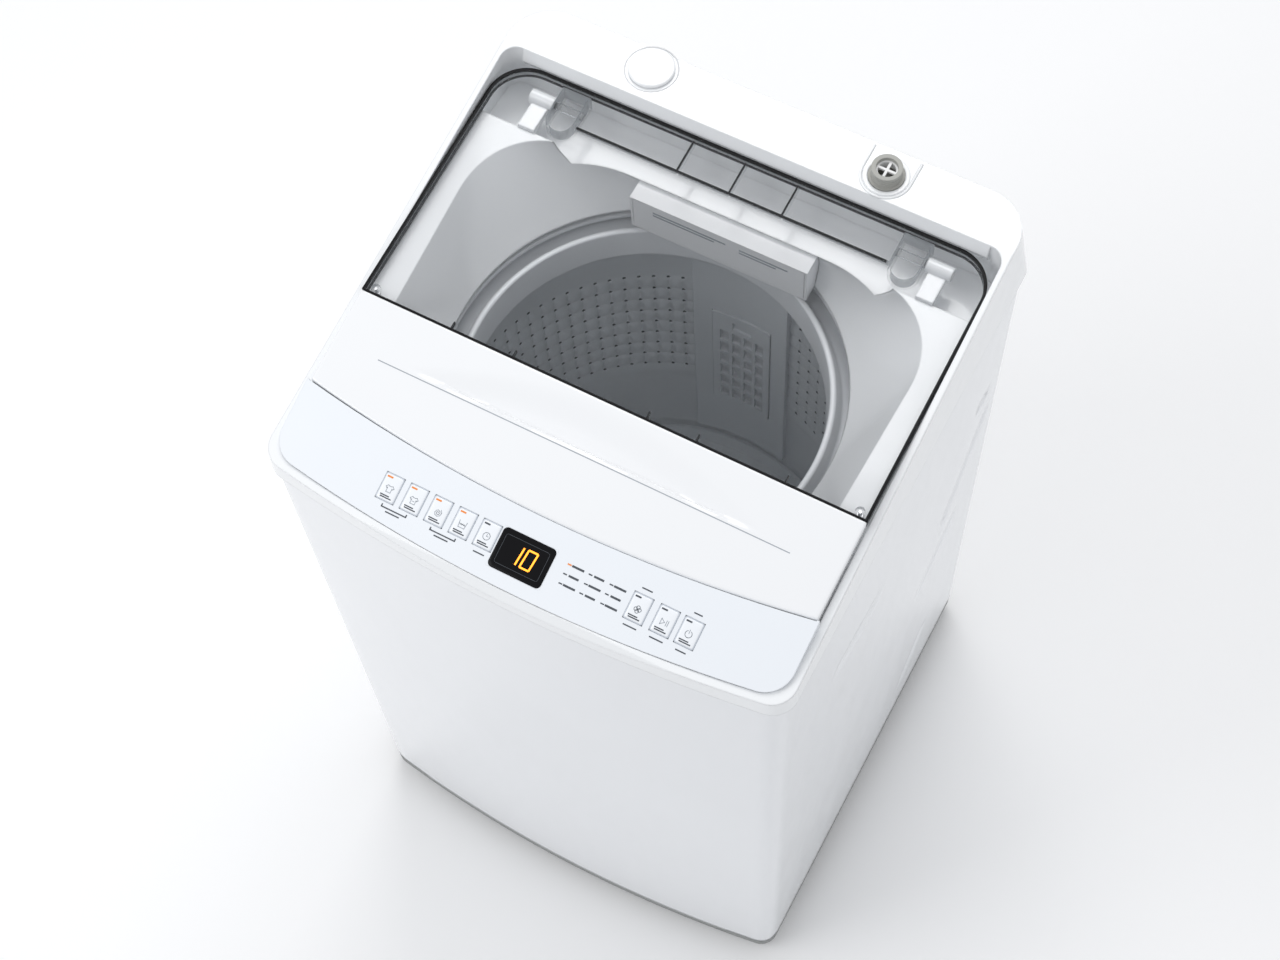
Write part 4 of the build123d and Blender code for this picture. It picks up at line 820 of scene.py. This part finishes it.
# ---------------------------------------------------------------- rear deck
@dataclass
class RearDeck:
    """The grey tap connection with its flange and pad, and the bath inlet cap."""

    pad_half: float = 0.0235
    ridge: float = 0.0012
    nozzle: tuple = ((10, -12), (10, 14), (14.3, 14), (14.3, 10.6), (13.6, 10.2), (13.6, 9.2), (14.3, 8.8),
                     (14.3, 7.2), (13.6, 6.8), (13.6, 5.8), (14.3, 5.4), (14.3, 2.6), (16.8, 2.4),
                     (16.8, 0.1), (14.3, 0), (14.3, -12))
    flange: tuple = ((17.2, -0.4), (17.2, 1.3), (21.2, 1.3), (21.8, -0.4))
    cap: tuple = ((0, 4.5), (13.6, 4.5), (14.2, 4.0), (15.4, 4.0), (16, 4.5), (20.8, 4.4), (22, 3.4),
                  (22, 0.6), (18, 0.6), (18, -8), (16, -8), (16, 1), (0, 1))
    cap_ridge: tuple = ((24.2, -0.4), (24.8, 0.4), (25.6, 0.4), (26.2, -0.4))

    def turned(self, name: str, profile: tuple, ease: float, centre: Array, look: str,
               body: str) -> bpy.types.Object:
        """One piece turned about an upright axis on the deck.

        Args:
            name: the piece's name.
            profile: (radius, height over the deck) in millimetres.
            ease: how far its corners are eased, in millimetres.
            centre: a point on the axis.
            look: its finish, which is also its slot.
            body: the body it rides on.

        Returns:
            The piece.
        """
        points = np.array(profile) * MM + np.array([0.0, DECK_Z])
        return piece(name, *lathe(softened(points, ease * MM, 3), centre[:2]), look, body, look)

    def build(self) -> list[bpy.types.Object]:
        """Turns the nozzle, the cap and the rings, and carries the pad's ridge round.

        Returns:
            The pieces.
        """
        nozzle, cap = middle("inlet_nozzle"), middle("bath_inlet_cap")
        made = [self.turned(*row) for row in (
            ("nozzle", self.nozzle, 0.35, nozzle, "nozzle_grey", "cabinet"),
            ("nozzle_flange", self.flange, 0.5, nozzle, "cover_white", "cabinet"),
            ("bath_cap", self.cap, 0.45, cap, "cover_white", "bath_cap"),
            ("cap_ridge_0", self.cap_ridge, 0.5, cap, "cover_white", "cabinet"))]
        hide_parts("inlet_nozzle")
        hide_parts("bath_inlet_cap")
        a = np.radians(np.linspace(180, 360, 25))
        arc = np.column_stack([nozzle[0] + self.pad_half * np.cos(a), nozzle[1] + self.pad_half * np.sin(a)])
        ends = np.linspace(0.2545, nozzle[1], 6, endpoint=False)
        left = np.column_stack([np.full(6, arc[0, 0]), ends])
        right = np.column_stack([np.full(6, arc[-1, 0]), ends[::-1]])
        line = np.concatenate([left, arc, right])
        path = np.column_stack([line, np.full(len(line), DECK_Z)])
        section = softened([(-0.0018, -0.0003), (-0.0007, self.ridge), (0.0007, self.ridge),
                            (0.0018, -0.0003)], 0.0005)
        made.append(piece("nozzle_pad", *sweep(path, section), "cover_white", "cabinet", "cover_white"))
        return made


# ---------------------------------------------------------------- key panel
class Sign(Enum):
    """The plain picture on each key, as strokes in millimetres about its middle."""

    WASH = "wash"
    RINSE = "rinse"
    SPIN = "spin"
    LEVEL = "level"
    TIMER = "timer"
    COURSE = "course"
    START = "start"
    POWER = "power"

    def lines(self) -> list:
        """The sign's strokes.

        Returns:
            Polylines of (x, y) in millimetres.
        """
        shirt = [(-4, 1.6), (-2.2, 3.3), (-0.9, 2.7), (0.9, 2.7), (2.2, 3.3), (4, 1.6), (2.9, 0.4),
                 (2.2, 1.0), (2.2, -3), (-2.2, -3), (-2.2, 1.0), (-2.9, 0.4), (-4, 1.6)]
        wave = [(x / 4, 0.5 * math.sin(x)) for x in range(-11, 12)]
        spiral = [((0.4 + 0.2 * k) * math.cos(k * 0.8), (0.4 + 0.2 * k) * math.sin(k * 0.8))
                  for k in range(18)]
        petals = [ringed(1.7 * math.cos(k), 1.7 * math.sin(k), 1.6) for k in np.radians([0, 90, 180, 270])]
        table = {Sign.WASH: [shirt], Sign.RINSE: [shirt, bar(0, -0.6, 2.2)], Sign.SPIN: [spiral],
                 Sign.LEVEL: [[(-3.6, 3), (-3, -3), (3, -3), (3.6, 3)], wave],
                 Sign.TIMER: [ringed(0, 0, 3.3), [(0, 2), (0, 0), (1.6, 0)]],
                 Sign.COURSE: petals, Sign.START: [[(-3, 2.6), (0.6, 0), (-3, -2.6), (-3, 2.6)],
                                                  [(2.2, 2.4), (2.2, -2.4)], [(3.8, 2.4), (3.8, -2.4)]],
                 Sign.POWER: [ringed(0, 0, 3.1, 118, 422), [(0, 0.6), (0, 4.0)]]}
        return table[self]


@dataclass
class KeyPanel:
    """The eight keys, the print round them and the lit display."""

    key_w: float = 0.0182
    key_l: float = 0.0246
    key_from_top: float = 0.0351
    proud: float = 0.0006
    display_w: float = 0.0526
    display_l: float = 0.038
    display_from_top: float = 0.0395
    print_t: float = 0.00012
    lit: tuple = (Sign.WASH, Sign.RINSE, Sign.SPIN, Sign.LEVEL)

    def on(self, lines: list, x: float, down: float, width: float, height: float) -> tuple[Array, Array]:
        """Strokes given in millimetres, placed on the slope.

        Args:
            lines: polylines in millimetres.
            x: middle, across.
            down: middle, down the slope.
            width: stroke width in millimetres.
            height: how far above the slope they lie.

        Returns:
            Points and faces.
        """
        points, faces = strokes(lines, width, self.print_t / MM)
        return SLOPE.place(points * MM + np.array([x, -down, height])), faces

    def key(self, sign: Sign) -> None:
        """One key: a grey edged cap with its stem, the grey edge being painted shade of the key's outline, a
        crowned white face, its sign and its lamp.

        Args:
            sign: which key.
        """
        name, body = sign.value, sign.value + "_key"
        low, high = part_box("key_" + name)
        x = (low.x + high.x) / 2
        at = np.array([x, -self.key_from_top, 0.0])
        outline = lambda w, r: (lambda i: rounded_outline(self.key_w / 2 - w, self.key_l / 2 - w, r, i))
        rim = [(0.0, -0.003), (0.0, self.proud * 0.4), (0.0002, self.proud * 0.85), (0.0006, self.proud),
               (0.0012, self.proud)]
        cap = ring_cap(outline(0, 0.0016), rim)
        stem = [(0.0, -0.007), (0.0, -0.0029), (0.0004, -0.0028)]
        post = ring_cap(lambda i: rounded_outline(0.002, 0.002, 0.002, i), stem)
        points, faces = joined([cap, post])
        base = piece("key_cap_" + name, SLOPE.place(points + at), faces, "key_rim", body, "panel_white")
        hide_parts("key_" + name)
        crown = self.proud + 0.00012
        face_steps = [(0.0, self.proud - 0.0002), (0.0, crown), (0.0003, crown + 0.00015),
                      (0.002, crown + 0.0003), (0.006, crown + 0.0004)]
        points, faces = ring_cap(outline(0.0009, 0.0013), face_steps)
        piece("key_face_" + name, SLOPE.place(points + at), faces, "key_white", body, "panel_white")
        top = crown + 0.0003
        words = [bar(-1.6, -7.6, 8.0), bar(2.6, -9.4, 5.0), bar(-3.0, -9.4, 4.0)]
        lamp_look = "print_orange" if sign in self.lit else "print_dark"
        for part, lines, down, width, look in (
                ("sign", sign.lines(), self.key_from_top + 0.0012, 0.62, "print_silver"),
                ("words", words, self.key_from_top, 1.1, "print_dark"),
                ("lamp", [bar(-4.2, 9.2, 4.2)], self.key_from_top, 1.5, lamp_look)):
            piece(f"key_{part}_{name}", *self.on(lines, x, down, width, top), look, body, "lens_black")

    def display(self) -> None:
        """The crowned black lens, its faint inner frame and two lit digits of seven bars each."""
        x = float(middle("display_window")[0])
        at = np.array([x, -self.display_from_top, 0.0])
        steps = [(0.0, -0.0026), (0.0, 0.0001), (0.0002, 0.0004), (0.0007, 0.00055), (0.006, 0.0006),
                 (0.014, 0.0006)]
        points, faces = ring_cap(lambda i: rounded_outline(self.display_w / 2 - 0.0001,
                                                           self.display_l / 2 - 0.0001, 0.0045, i), steps)
        lens = piece("display_lens", SLOPE.place(points + at), faces, "lens_black", "cabinet", "lens_black")
        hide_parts("display_window")
        outline = rounded_outline(21.5, 13.5, 2.0, 0)
        frame_line = np.vstack([outline, outline[:1]])
        piece("display_frame", *self.on([frame_line], x, self.display_from_top, 0.3, 0.00061), "print_dark",
              "cabinet", "lens_black")
        ends = {"a": [(-3, 6.4), (3, 6.4)], "b": [(3.5, 5.9), (3.5, 0.5)], "c": [(3.5, -0.5), (3.5, -5.9)],
                "d": [(-3, -6.4), (3, -6.4)], "e": [(-3.5, -0.5), (-3.5, -5.9)],
                "f": [(-3.5, 5.9), (-3.5, 0.5)]}
        lines = []
        for cx, bars in ((-5.2, "bc"), (5.2, "abcdef")):
            lines += [[(1.3 * (cx + px + 0.09 * py), 1.3 * py) for px, py in ends[b]] for b in bars]
        piece("display_digits", *self.on(lines, x, self.display_from_top, 1.6, 0.00062), "digit_glow",
              "cabinet", "lens_black")

    def print(self) -> None:
        """The marks on the panel itself: brackets, captions and the list of courses."""
        xs = {s: float(middle("key_" + s.value)[0]) / MM for s in Sign}
        dark, names, lamp = [], [], []
        for a, b in ((Sign.WASH, Sign.RINSE), (Sign.SPIN, Sign.LEVEL)):
            x0, x1 = xs[a], xs[b]
            dark += [[(x0, -50.5), (x0, -52.4), (x1, -52.4), (x1, -50.5)], bar((x0 + x1) / 2, -55.4, 13)]
        dark += [bar(xs[sign], y, w) for sign, y, w in (
            (Sign.TIMER, -52.4, 10), (Sign.COURSE, -52.4, 12), (Sign.START, -52.4, 12),
            (Sign.POWER, -52.4, 9), (Sign.COURSE, -17.5, 9), (Sign.POWER, -17.5, 7))]
        for row in range(3):
            for col in range(3):
                x, y = 38.5 + 20.5 * col, -27.0 - 9.0 * row
                (lamp if (row, col) == (0, 0) else dark).append(bar(x, y, 2.6))
                names.append(bar(x + 8.4, y, 10.0 - (row + col) % 2 * 2))
        piece("panel_print", *self.on(dark, 0.0, 0.0, 1.15, 0.00002), "print_dark", "cabinet", "panel_white")
        piece("course_list", *self.on(names, 0.0, 0.0, 1.9, 0.00002), "print_dark", "cabinet", "panel_white")
        piece("panel_lamp", *self.on(lamp, 0.0, 0.0, 1.3, 0.00003), "print_orange", "cabinet", "panel_white")

    def seats(self) -> None:
        """The pale grey lips that close the gaps round the keys, painted shade for the keys' outlines, and
        the rounded corners of the display's hole.
        """
        outline = rounded_outline(9.31, 12.51, 1.7, 0)
        outline = np.vstack([outline, outline[:1]])
        lips = []
        for sign in Sign:
            x = float(middle("key_" + sign.value)[0]) / MM
            lips.append([(x + px, py - self.key_from_top / MM) for px, py in outline])
        piece("key_seats", *self.on(lips, 0.0, 0.0, 0.34, -0.0003), "key_rim", "cabinet", "panel_white")
        x = float(middle("display_window")[0])
        w, h = self.display_w / 2, self.display_l / 2
        hole = rounded_outline(w + 0.0003, h + 0.0003, 0.0002, 0)
        lens = rounded_outline(w - 0.0001, h - 0.0001, 0.0045, 0)
        ring = np.stack([hole, lens])
        flat = np.dstack([ring + np.array([x, -self.display_from_top]), np.full(ring.shape[:2], 0.00008)])
        piece("display_corners", SLOPE.place(flat.reshape(-1, 3)), grid_faces(2, ring.shape[1], False, True),
              "panel_white", "cabinet", "panel_white", keep_open=True)

    def build(self) -> None:
        """Makes every key, the display and the print."""
        for sign in Sign:
            self.key(sign)
        self.seats()
        self.display()
        self.print()


# ---------------------------------------------------------------- lid
@dataclass
class Lid:
    """The white lid front with its finger scoop, and the dark edges of the clear part, drawn as lines of
    painted shade.
    """

    half: float = 0.252
    front: float = -0.1842
    seam_y: float = -0.0706
    seam_z: float = 0.88643
    front_slope: float = 11.0
    window_slope: float = 4.0
    bow: float = 0.0208
    rear: float = 0.1993
    corner: float = 0.039
    depth: float = 0.012
    ease: float = 0.0016
    grip_half: float = 0.184
    slot_y: float = -0.1226
    rib_y: float = 0.161
    scoop: float = 0.0046
    ticks: tuple[float, ...] = (-0.1606, -0.097, 0.0376, 0.0863, 0.1727)

    def height(self, y: Array) -> Array:
        """The lid's top over y: two straight slopes that meet at the seam."""
        back = self.seam_z + (y - self.seam_y) * math.tan(math.radians(self.window_slope))
        return np.where(y > self.seam_y, back,
                        self.seam_z - (self.seam_y - y) * math.tan(math.radians(self.front_slope)))

    def handle(self) -> bpy.types.Object:
        """The lid front: a sloped sheet, bowed at its front, with eased edges and a skirt.

        Inside the sheet, y runs from the bowed front line to the seam. Past each border the surface
        turns down over a quarter circle of radius ease and then drops straight to the skirt's foot.
        The scoop sinks by scoop times two smooth steps, steep at the slot and long towards the seam.

        Returns:
            The lid front.
        """
        r = self.ease
        angle = np.linspace(90, 0, 4)[:3]
        over = np.concatenate([[2.0], np.sin(np.radians(angle))])
        core_u = np.clip(np.concatenate([np.full(4, -1.0), np.linspace(-1, 1, 180), np.full(4, 1.0)]), -1, 1)
        core_v = np.concatenate([np.zeros(4), np.linspace(0, 1, 56), np.ones(4)])
        past_u = np.concatenate([over, np.zeros(180), over[::-1]])
        past_v = np.concatenate([over, np.zeros(56), over[::-1]])
        cu, cv = np.meshgrid(core_u, core_v)
        pu, pv = np.meshgrid(past_u, past_v)
        x = cu * (self.half - r)
        y0 = self.front + r + self.bow * (x / self.half) ** 2
        y = y0 + cv * (self.seam_y - 0.0004 - r - y0)
        bx, by = np.minimum(pu, 1.0), np.minimum(pv, 1.0)
        norm = np.maximum(np.hypot(bx, by), 1.0)
        bx, by = bx / norm, by / norm
        drop = r - np.sqrt(np.maximum(r * r - (r * bx) ** 2 - (r * by) ** 2, 0.0))
        skirt = (np.maximum(pu, pv) > 1.5) * (self.depth - r)
        slot = self.slot_y + 0.003
        crest = slot + 0.0445 * (1 - (x / self.grip_half) ** 2)
        step = lambda t: np.clip(t, 0, 1) ** 2 * (3 - 2 * np.clip(t, 0, 1))
        sunk = self.scoop * step((y - slot) / 0.0035) * step((crest - y) / 0.03)
        y = y + by * r * np.where(cv < 0.5, -1, 1)
        x = x + bx * r * np.sign(cu)
        z = self.height(y) - drop - skirt - sunk
        shape = piece("lid_front", np.stack([x, y, z], -1), grid_faces(*x.shape, False, False),
                      "front_white", "lid", "front_white", keep_open=True)
        wall = shape.modifiers.new("wall", "SOLIDIFY")
        wall.thickness, wall.offset = 0.0022, -1.0
        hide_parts("lid_handle")
        return shape

    def rim(self, inset: float) -> Array:
        """The clear part's outline in plan, from seam to seam round the rear.

        Args:
            inset: distance inside the outline.

        Returns:
            An array of shape (n, 2).
        """
        w, rear, r = self.half - inset, self.rear - inset, self.corner - inset
        a = np.radians(np.linspace(0, 90, 15))
        turn = np.column_stack([w - r + r * np.cos(a), rear - r + r * np.sin(a)])
        side = np.column_stack([np.full(24, w), np.linspace(self.seam_y, rear - r, 24, endpoint=False)])
        back = np.column_stack([np.linspace(w - r - 0.01, 0.01, 12), np.full(12, rear)])
        right = np.concatenate([side, turn, back])
        return np.concatenate([right, right[::-1] * np.array([-1, 1])])

    def across(self, half: float, y: float, steps: int) -> Array:
        """A straight path of so many points at y, from -half to half, in plan."""
        return np.column_stack([np.linspace(-half, half, steps), np.full(steps, y)])

    def down(self, x: float, start: float, end: float, steps: int) -> Array:
        """A straight path of so many points at x, from start to end, in plan."""
        return np.column_stack([np.full(steps, x), np.linspace(start, end, steps)])

    def line(self, name: str, plan: Array, width: float, top: float, foot: float,
             look: str = "edge_black") -> bpy.types.Object:
        """A dark line of painted shade carried along a path just over the lid's surface.

        Args:
            name: the piece's name.
            plan: the path in plan.
            width: its width.
            top: its top over the lid's height.
            foot: its foot over the lid's height.
            look: its finish.

        Returns:
            The line.
        """
        path = np.column_stack([plan, self.height(plan[:, 1])])
        w = width / 2
        section = softened([(-w, foot), (-w, top), (w, top), (w, foot)], 0.0002, 2)
        return piece(name, *sweep(path, section), look, "lid", "lens_black")

    def build(self) -> None:
        """Makes the lid front, the slot line, and the dark edges, seam and gusset ticks; the slot line and
        the dark lines are painted shade.
        """
        self.handle()
        # Painted shade: a silver grey stroke stands for the shade in the grip slot's groove.
        self.line("grip_slot_painted_shade", self.across(0.205, self.slot_y, 60), 0.0011, 0.0001, -0.0006, "print_silver")
        self.line("lid_edge_top", self.rim(0.0014), 0.0028, 0.0002, -0.0028)
        self.line("lid_edge_foot", self.rim(0.0015), 0.0026, -0.0098, -0.0104)
        self.line("rib_line", self.across(0.158, self.rib_y, 30), 0.0014, -0.0026, -0.0060)
        for index, x in enumerate((-0.0534, 0.0, 0.0534)):
            rib = self.down(x, self.rib_y + 0.001, self.rear - 0.004, 10)
            self.line(f"rib_line_{index}", rib, 0.0012, -0.0026, -0.0052)
        seam = self.across(self.half - 0.001, self.seam_y + 0.0006, 40)
        self.line("seam_line", seam, 0.0016, 0.0003, -0.006)
        for index, x in enumerate(self.ticks):
            gusset = self.down(x, self.seam_y + 0.001, self.seam_y + 0.0095, 6)
            self.line(f"gusset_{index}", gusset, 0.0013, -0.0031, -0.0075)


# ---------------------------------------------------------------- mouth, basket and agitator
@dataclass
class Mouth:
    """What shows down the mouth: splash ring, balance ring, dimpled drum, net and agitator."""

    drum_r: float = 0.206
    columns: int = 86
    rows: int = 8
    row_low: float = 0.478
    row_high: float = 0.660
    dimple: float = 0.0028

    def rings(self) -> None:
        """The tub's splash ring and the basket's balance ring, turned from their eased profiles."""
        axis = middle("basket_wall")[:2]
        splash = [(231.5, 767), (231.5, 787), (204, 799), (198, 803), (190, 803), (190, 797), (202, 796),
                  (225.5, 784), (225.5, 775), (228.5, 775), (228.5, 767)]
        ring = [(204, 722), (210.5, 722), (210.5, 780), (204.5, 786), (181.5, 786), (175.5, 803), (170, 803),
                (167.5, 766), (170.5, 760)]
        for name, node, body, profile, ease in (("splash_ring", "tub_ring", "tub", splash, 2.2),
                                                ("balance_ring_top", "balance_ring", "basket", ring, 2.4)):
            turned = lathe(softened(np.array(profile) * MM, ease * MM, 4), axis, 160)
            shape = piece(name, *turned, "ring_grey", body, "ring_grey")
            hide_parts(node)

    def drum(self) -> bpy.types.Object:
        """The dimpled drum wall.

        With c dimples round and rows up the band, the wall comes inwards by
        dimple (|sin(c a / 2)| |sin(pi v)|)^0.55, where v counts rows; both fade out past the band.
        A smooth bead stands between the band and the plain foot.

        Returns:
            The drum wall.
        """
        low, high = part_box("basket_wall")
        axis = middle("basket_wall")[:2]
        pitch = (self.row_high - self.row_low) / self.rows
        z = np.concatenate([np.linspace(low.z, 0.445, 8), np.linspace(0.449, 0.477, 8),
                            np.linspace(self.row_low, self.row_high, self.rows * 6 + 1),
                            np.linspace(0.664, high.z, 5)])
        a = np.linspace(0, math.tau, self.columns * 5, endpoint=False)
        zz, aa = np.meshgrid(z, a, indexing="ij")
        v = (zz - self.row_low) / pitch
        inside = (v >= 0) & (v <= self.rows)
        swell = (np.abs(np.sin(self.columns * aa / 2)) * np.abs(np.sin(math.pi * v))) ** 0.55 * inside
        bead = 0.0016 * np.exp(-((zz - 0.4645) / 0.011) ** 2)
        r = self.drum_r - self.dimple * swell - bead
        points = np.stack([axis[0] + r * np.cos(aa), axis[1] + r * np.sin(aa), zz], -1)
        uv = np.stack([aa * self.columns / math.tau, v], -1)
        faces = grid_faces(*zz.shape, False, True)[:, ::-1]
        wall = piece("drum_wall", points, faces, "drum_steel", "basket", "drum_steel", uv, "dimples", True)
        skin = wall.modifiers.new("sheet", "SOLIDIFY")
        skin.thickness, skin.offset = 0.0011, -1.0
        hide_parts("basket_wall")
        return wall

    def agitator(self) -> bpy.types.Object:
        """The finned disc.

        Its top is a shallow dish with a domed hub, and six swept vanes: at radius r and turn a the
        vane height is H g(r) exp(-(sin(3 (a - k r)) / w)^2), where g rises from the hub and falls to the rim.

        Returns:
            The agitator.
        """
        low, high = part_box("pulsator")
        axis = middle("pulsator")[:2]
        rim = (high.x - low.x) / 2
        rise = high.z - low.z
        radii = np.concatenate([np.linspace(rim - 0.0012, 0.0, 44)])
        a = np.linspace(0, math.tau, 360, endpoint=False)
        rr, aa = np.meshgrid(radii, a)
        t = rr / rim
        dish = 0.008 + 0.006 * t ** 4
        hub = (rise - 0.010) * np.exp(-(rr / 0.034) ** 4)
        grow = np.clip((t - 0.12) / 0.2, 0, 1) * np.clip((0.985 - t) / 0.18, 0, 1)
        vane = (rise - 0.014) * grow * np.exp(-(np.sin(3 * (aa - 7.0 * rr)) / 0.26) ** 2)
        z = low.z + np.minimum(dish + np.maximum(hub, vane), rise)
        edge_r = [rim - 0.006, rim - 0.0008, rim, rim]
        edge_z = [low.z, low.z, low.z + 0.0012, low.z + 0.0128]
        rr = np.concatenate([np.broadcast_to(np.array([0.0, *edge_r]), (360, 5)), rr], 1)
        z = np.concatenate([np.broadcast_to(np.array([low.z, *edge_z]), (360, 5)), z], 1)
        points = np.stack([axis[0] + rr * np.cos(a)[:, None], axis[1] + rr * np.sin(a)[:, None], z], -1)
        shape = piece("agitator", points, grid_faces(*z.shape, True, False), "pulsator_grey", "agitator",
                      "pulsator_grey")
        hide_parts("pulsator")
        return shape

    def net(self) -> bpy.types.Object:
        """The lint net, a piece of a cylinder behind the filter's windows."""
        low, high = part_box("lint_filter")
        axis = middle("basket_wall")[:2]
        r = high.y - axis[1] - 0.0035
        half = math.asin(0.0285 / r)
        a = np.linspace(math.pi / 2 - half, math.pi / 2 + half, 20)
        z = np.linspace(low.z + 0.006, high.z - 0.030, 24)
        zz, aa = np.meshgrid(z, a, indexing="ij")
        bulge = 0.0006 * np.sin((zz - z[0]) / (z[-1] - z[0]) * math.pi)
        points = np.stack([axis[0] + (r - bulge) * np.cos(aa), axis[1] + (r - bulge) * np.sin(aa), zz], -1)
        uv = np.stack([aa * r, zz], -1)
        return piece("lint_net", points, grid_faces(*zz.shape, False, False)[:, ::-1], "filter_net", "filter",
                     "filter_white", uv, "net", True)

    def build(self) -> None:
        """Makes the rings, the drum, the agitator and the net."""
        self.rings()
        self.drum()
        self.agitator()
        self.net()


@dataclass
class DrawerFront:
    """The plain label bars on the detergent drawer's front plate."""

    bars: tuple = ((-0.067, 0.007), (0.023, 0.071))

    def build(self) -> None:
        """Lays each label as two short dark rules on the plate."""
        low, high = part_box("detergent_drawer")
        for index, (x0, x1) in enumerate(self.bars):
            lines = [[(x0, 0.0), (x1, 0.0)], [(x0, -0.0042), (x1 - 0.012, -0.0042)]]
            points, faces = strokes(lines, 0.0022, 0.00015)
            z = high.z - 0.008
            turned = np.column_stack([points[:, 0], low.y - points[:, 2], z + points[:, 1]])
            piece(f"drawer_label_{index}", turned, faces, "print_silver", "drawer", "inner_white")


# ---------------------------------------------------------------- carried nodes and studio
@dataclass
class CarriedNodes:
    """The CAD nodes that stay as they are, each dressed with its slot's finish."""

    def build(self) -> int:
        """Gives every node the finish of its slot.

        Returns:
            The number of nodes dressed.
        """
        slots = {part["node"]: part["material_slot"] for part in frame["record"]["subparts"]}
        for name, thing in frame["nodes"].items():
            thing.data.materials.clear()
            thing.data.materials.append(finish(slots[name]))
        return len(slots)


@dataclass
class Studio:
    """The pale floor, the soft lights and the camera."""

    floor_half: float = 9.0
    place: tuple[float, float, float] = (0.5131, -0.8153, 2.6061)
    turn: tuple[float, float, float] = (0.4457, 0.0404, 0.4942)
    lens: float = 62.475

    def floor(self) -> None:
        """A flat sheet under the feet with a plain pale finish."""
        h = self.floor_half
        points = np.array([[-h, -h, 0.0], [h, -h, 0.0], [h, h, 0.0], [-h, h, 0.0]])
        mesh = bpy.data.meshes.new("floor")
        mesh.from_pydata(points.tolist(), [], [[0, 1, 2, 3]])
        n = Nodes("floor_pale")
        n.shader.inputs["Base Color"].default_value = (0.96, 0.962, 0.965, 1.0)
        n.shader.inputs["Roughness"].default_value = 0.9
        mesh.materials.append(n.material)
        thing = bpy.data.objects.new("floor", mesh)
        bpy.context.scene.collection.objects.link(thing)

    def light(self, name: str, at: tuple, aim: tuple, size: float, power: float) -> None:
        """An area light.

        Args:
            name: its name.
            at: its place.
            aim: the point that it faces.
            size: its side.
            power: its watts.
        """
        data = bpy.data.lights.new(name, "AREA")
        data.size, data.energy = size, power
        lamp = bpy.data.objects.new(name, data)
        lamp.location = at
        way = np.array(aim, float) - np.array(at, float)
        lamp.rotation_euler = Euler((math.atan2(math.hypot(way[0], way[1]), -way[2]), 0.0,
                                     math.atan2(way[1], way[0]) - math.pi / 2))
        bpy.context.scene.collection.objects.link(lamp)

    def build(self) -> None:
        """Sets the floor, the lights, the surroundings and the camera."""
        self.floor()
        self.light("key_light", (-1.7, -1.6, 2.7), (0, 0, 0.6), 1.6, 22.0)
        self.light("top_light", (-0.5, 1.4, 3.2), (0, 0, 0.6), 1.6, 30.0)
        self.light("fill_light", (2.6, -1.6, 1.6), (0, 0, 0.5), 2.2, 0.5)
        world = bpy.data.worlds.new("studio")
        world.use_nodes = True
        back = world.node_tree.nodes["Background"]
        back.inputs[0].default_value = (0.97, 0.98, 1.0, 1.0)
        back.inputs[1].default_value = 0.72
        bpy.context.scene.world = world
        data = bpy.data.cameras.new("camera")
        data.lens, data.sensor_width = self.lens, 36.0
        camera = bpy.data.objects.new("camera", data)
        camera.location, camera.rotation_euler = self.place, Euler(self.turn)
        bpy.context.scene.collection.objects.link(camera)
        bpy.context.scene.camera = camera
        bpy.context.scene.view_settings.view_transform = "Standard"


def main() -> None:
    """Builds every class in order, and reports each."""
    logging.basicConfig(level=logging.INFO, format="%(message)s")
    LOG.info("carried nodes dressed: %d", CarriedNodes().build())
    for part in (CabinetShell(), RearDeck(), KeyPanel(), Lid(), Mouth(), DrawerFront(), Studio()):
        part.build()
        LOG.info("built %s", type(part).__name__)


if __name__ == "__main__":
    main()
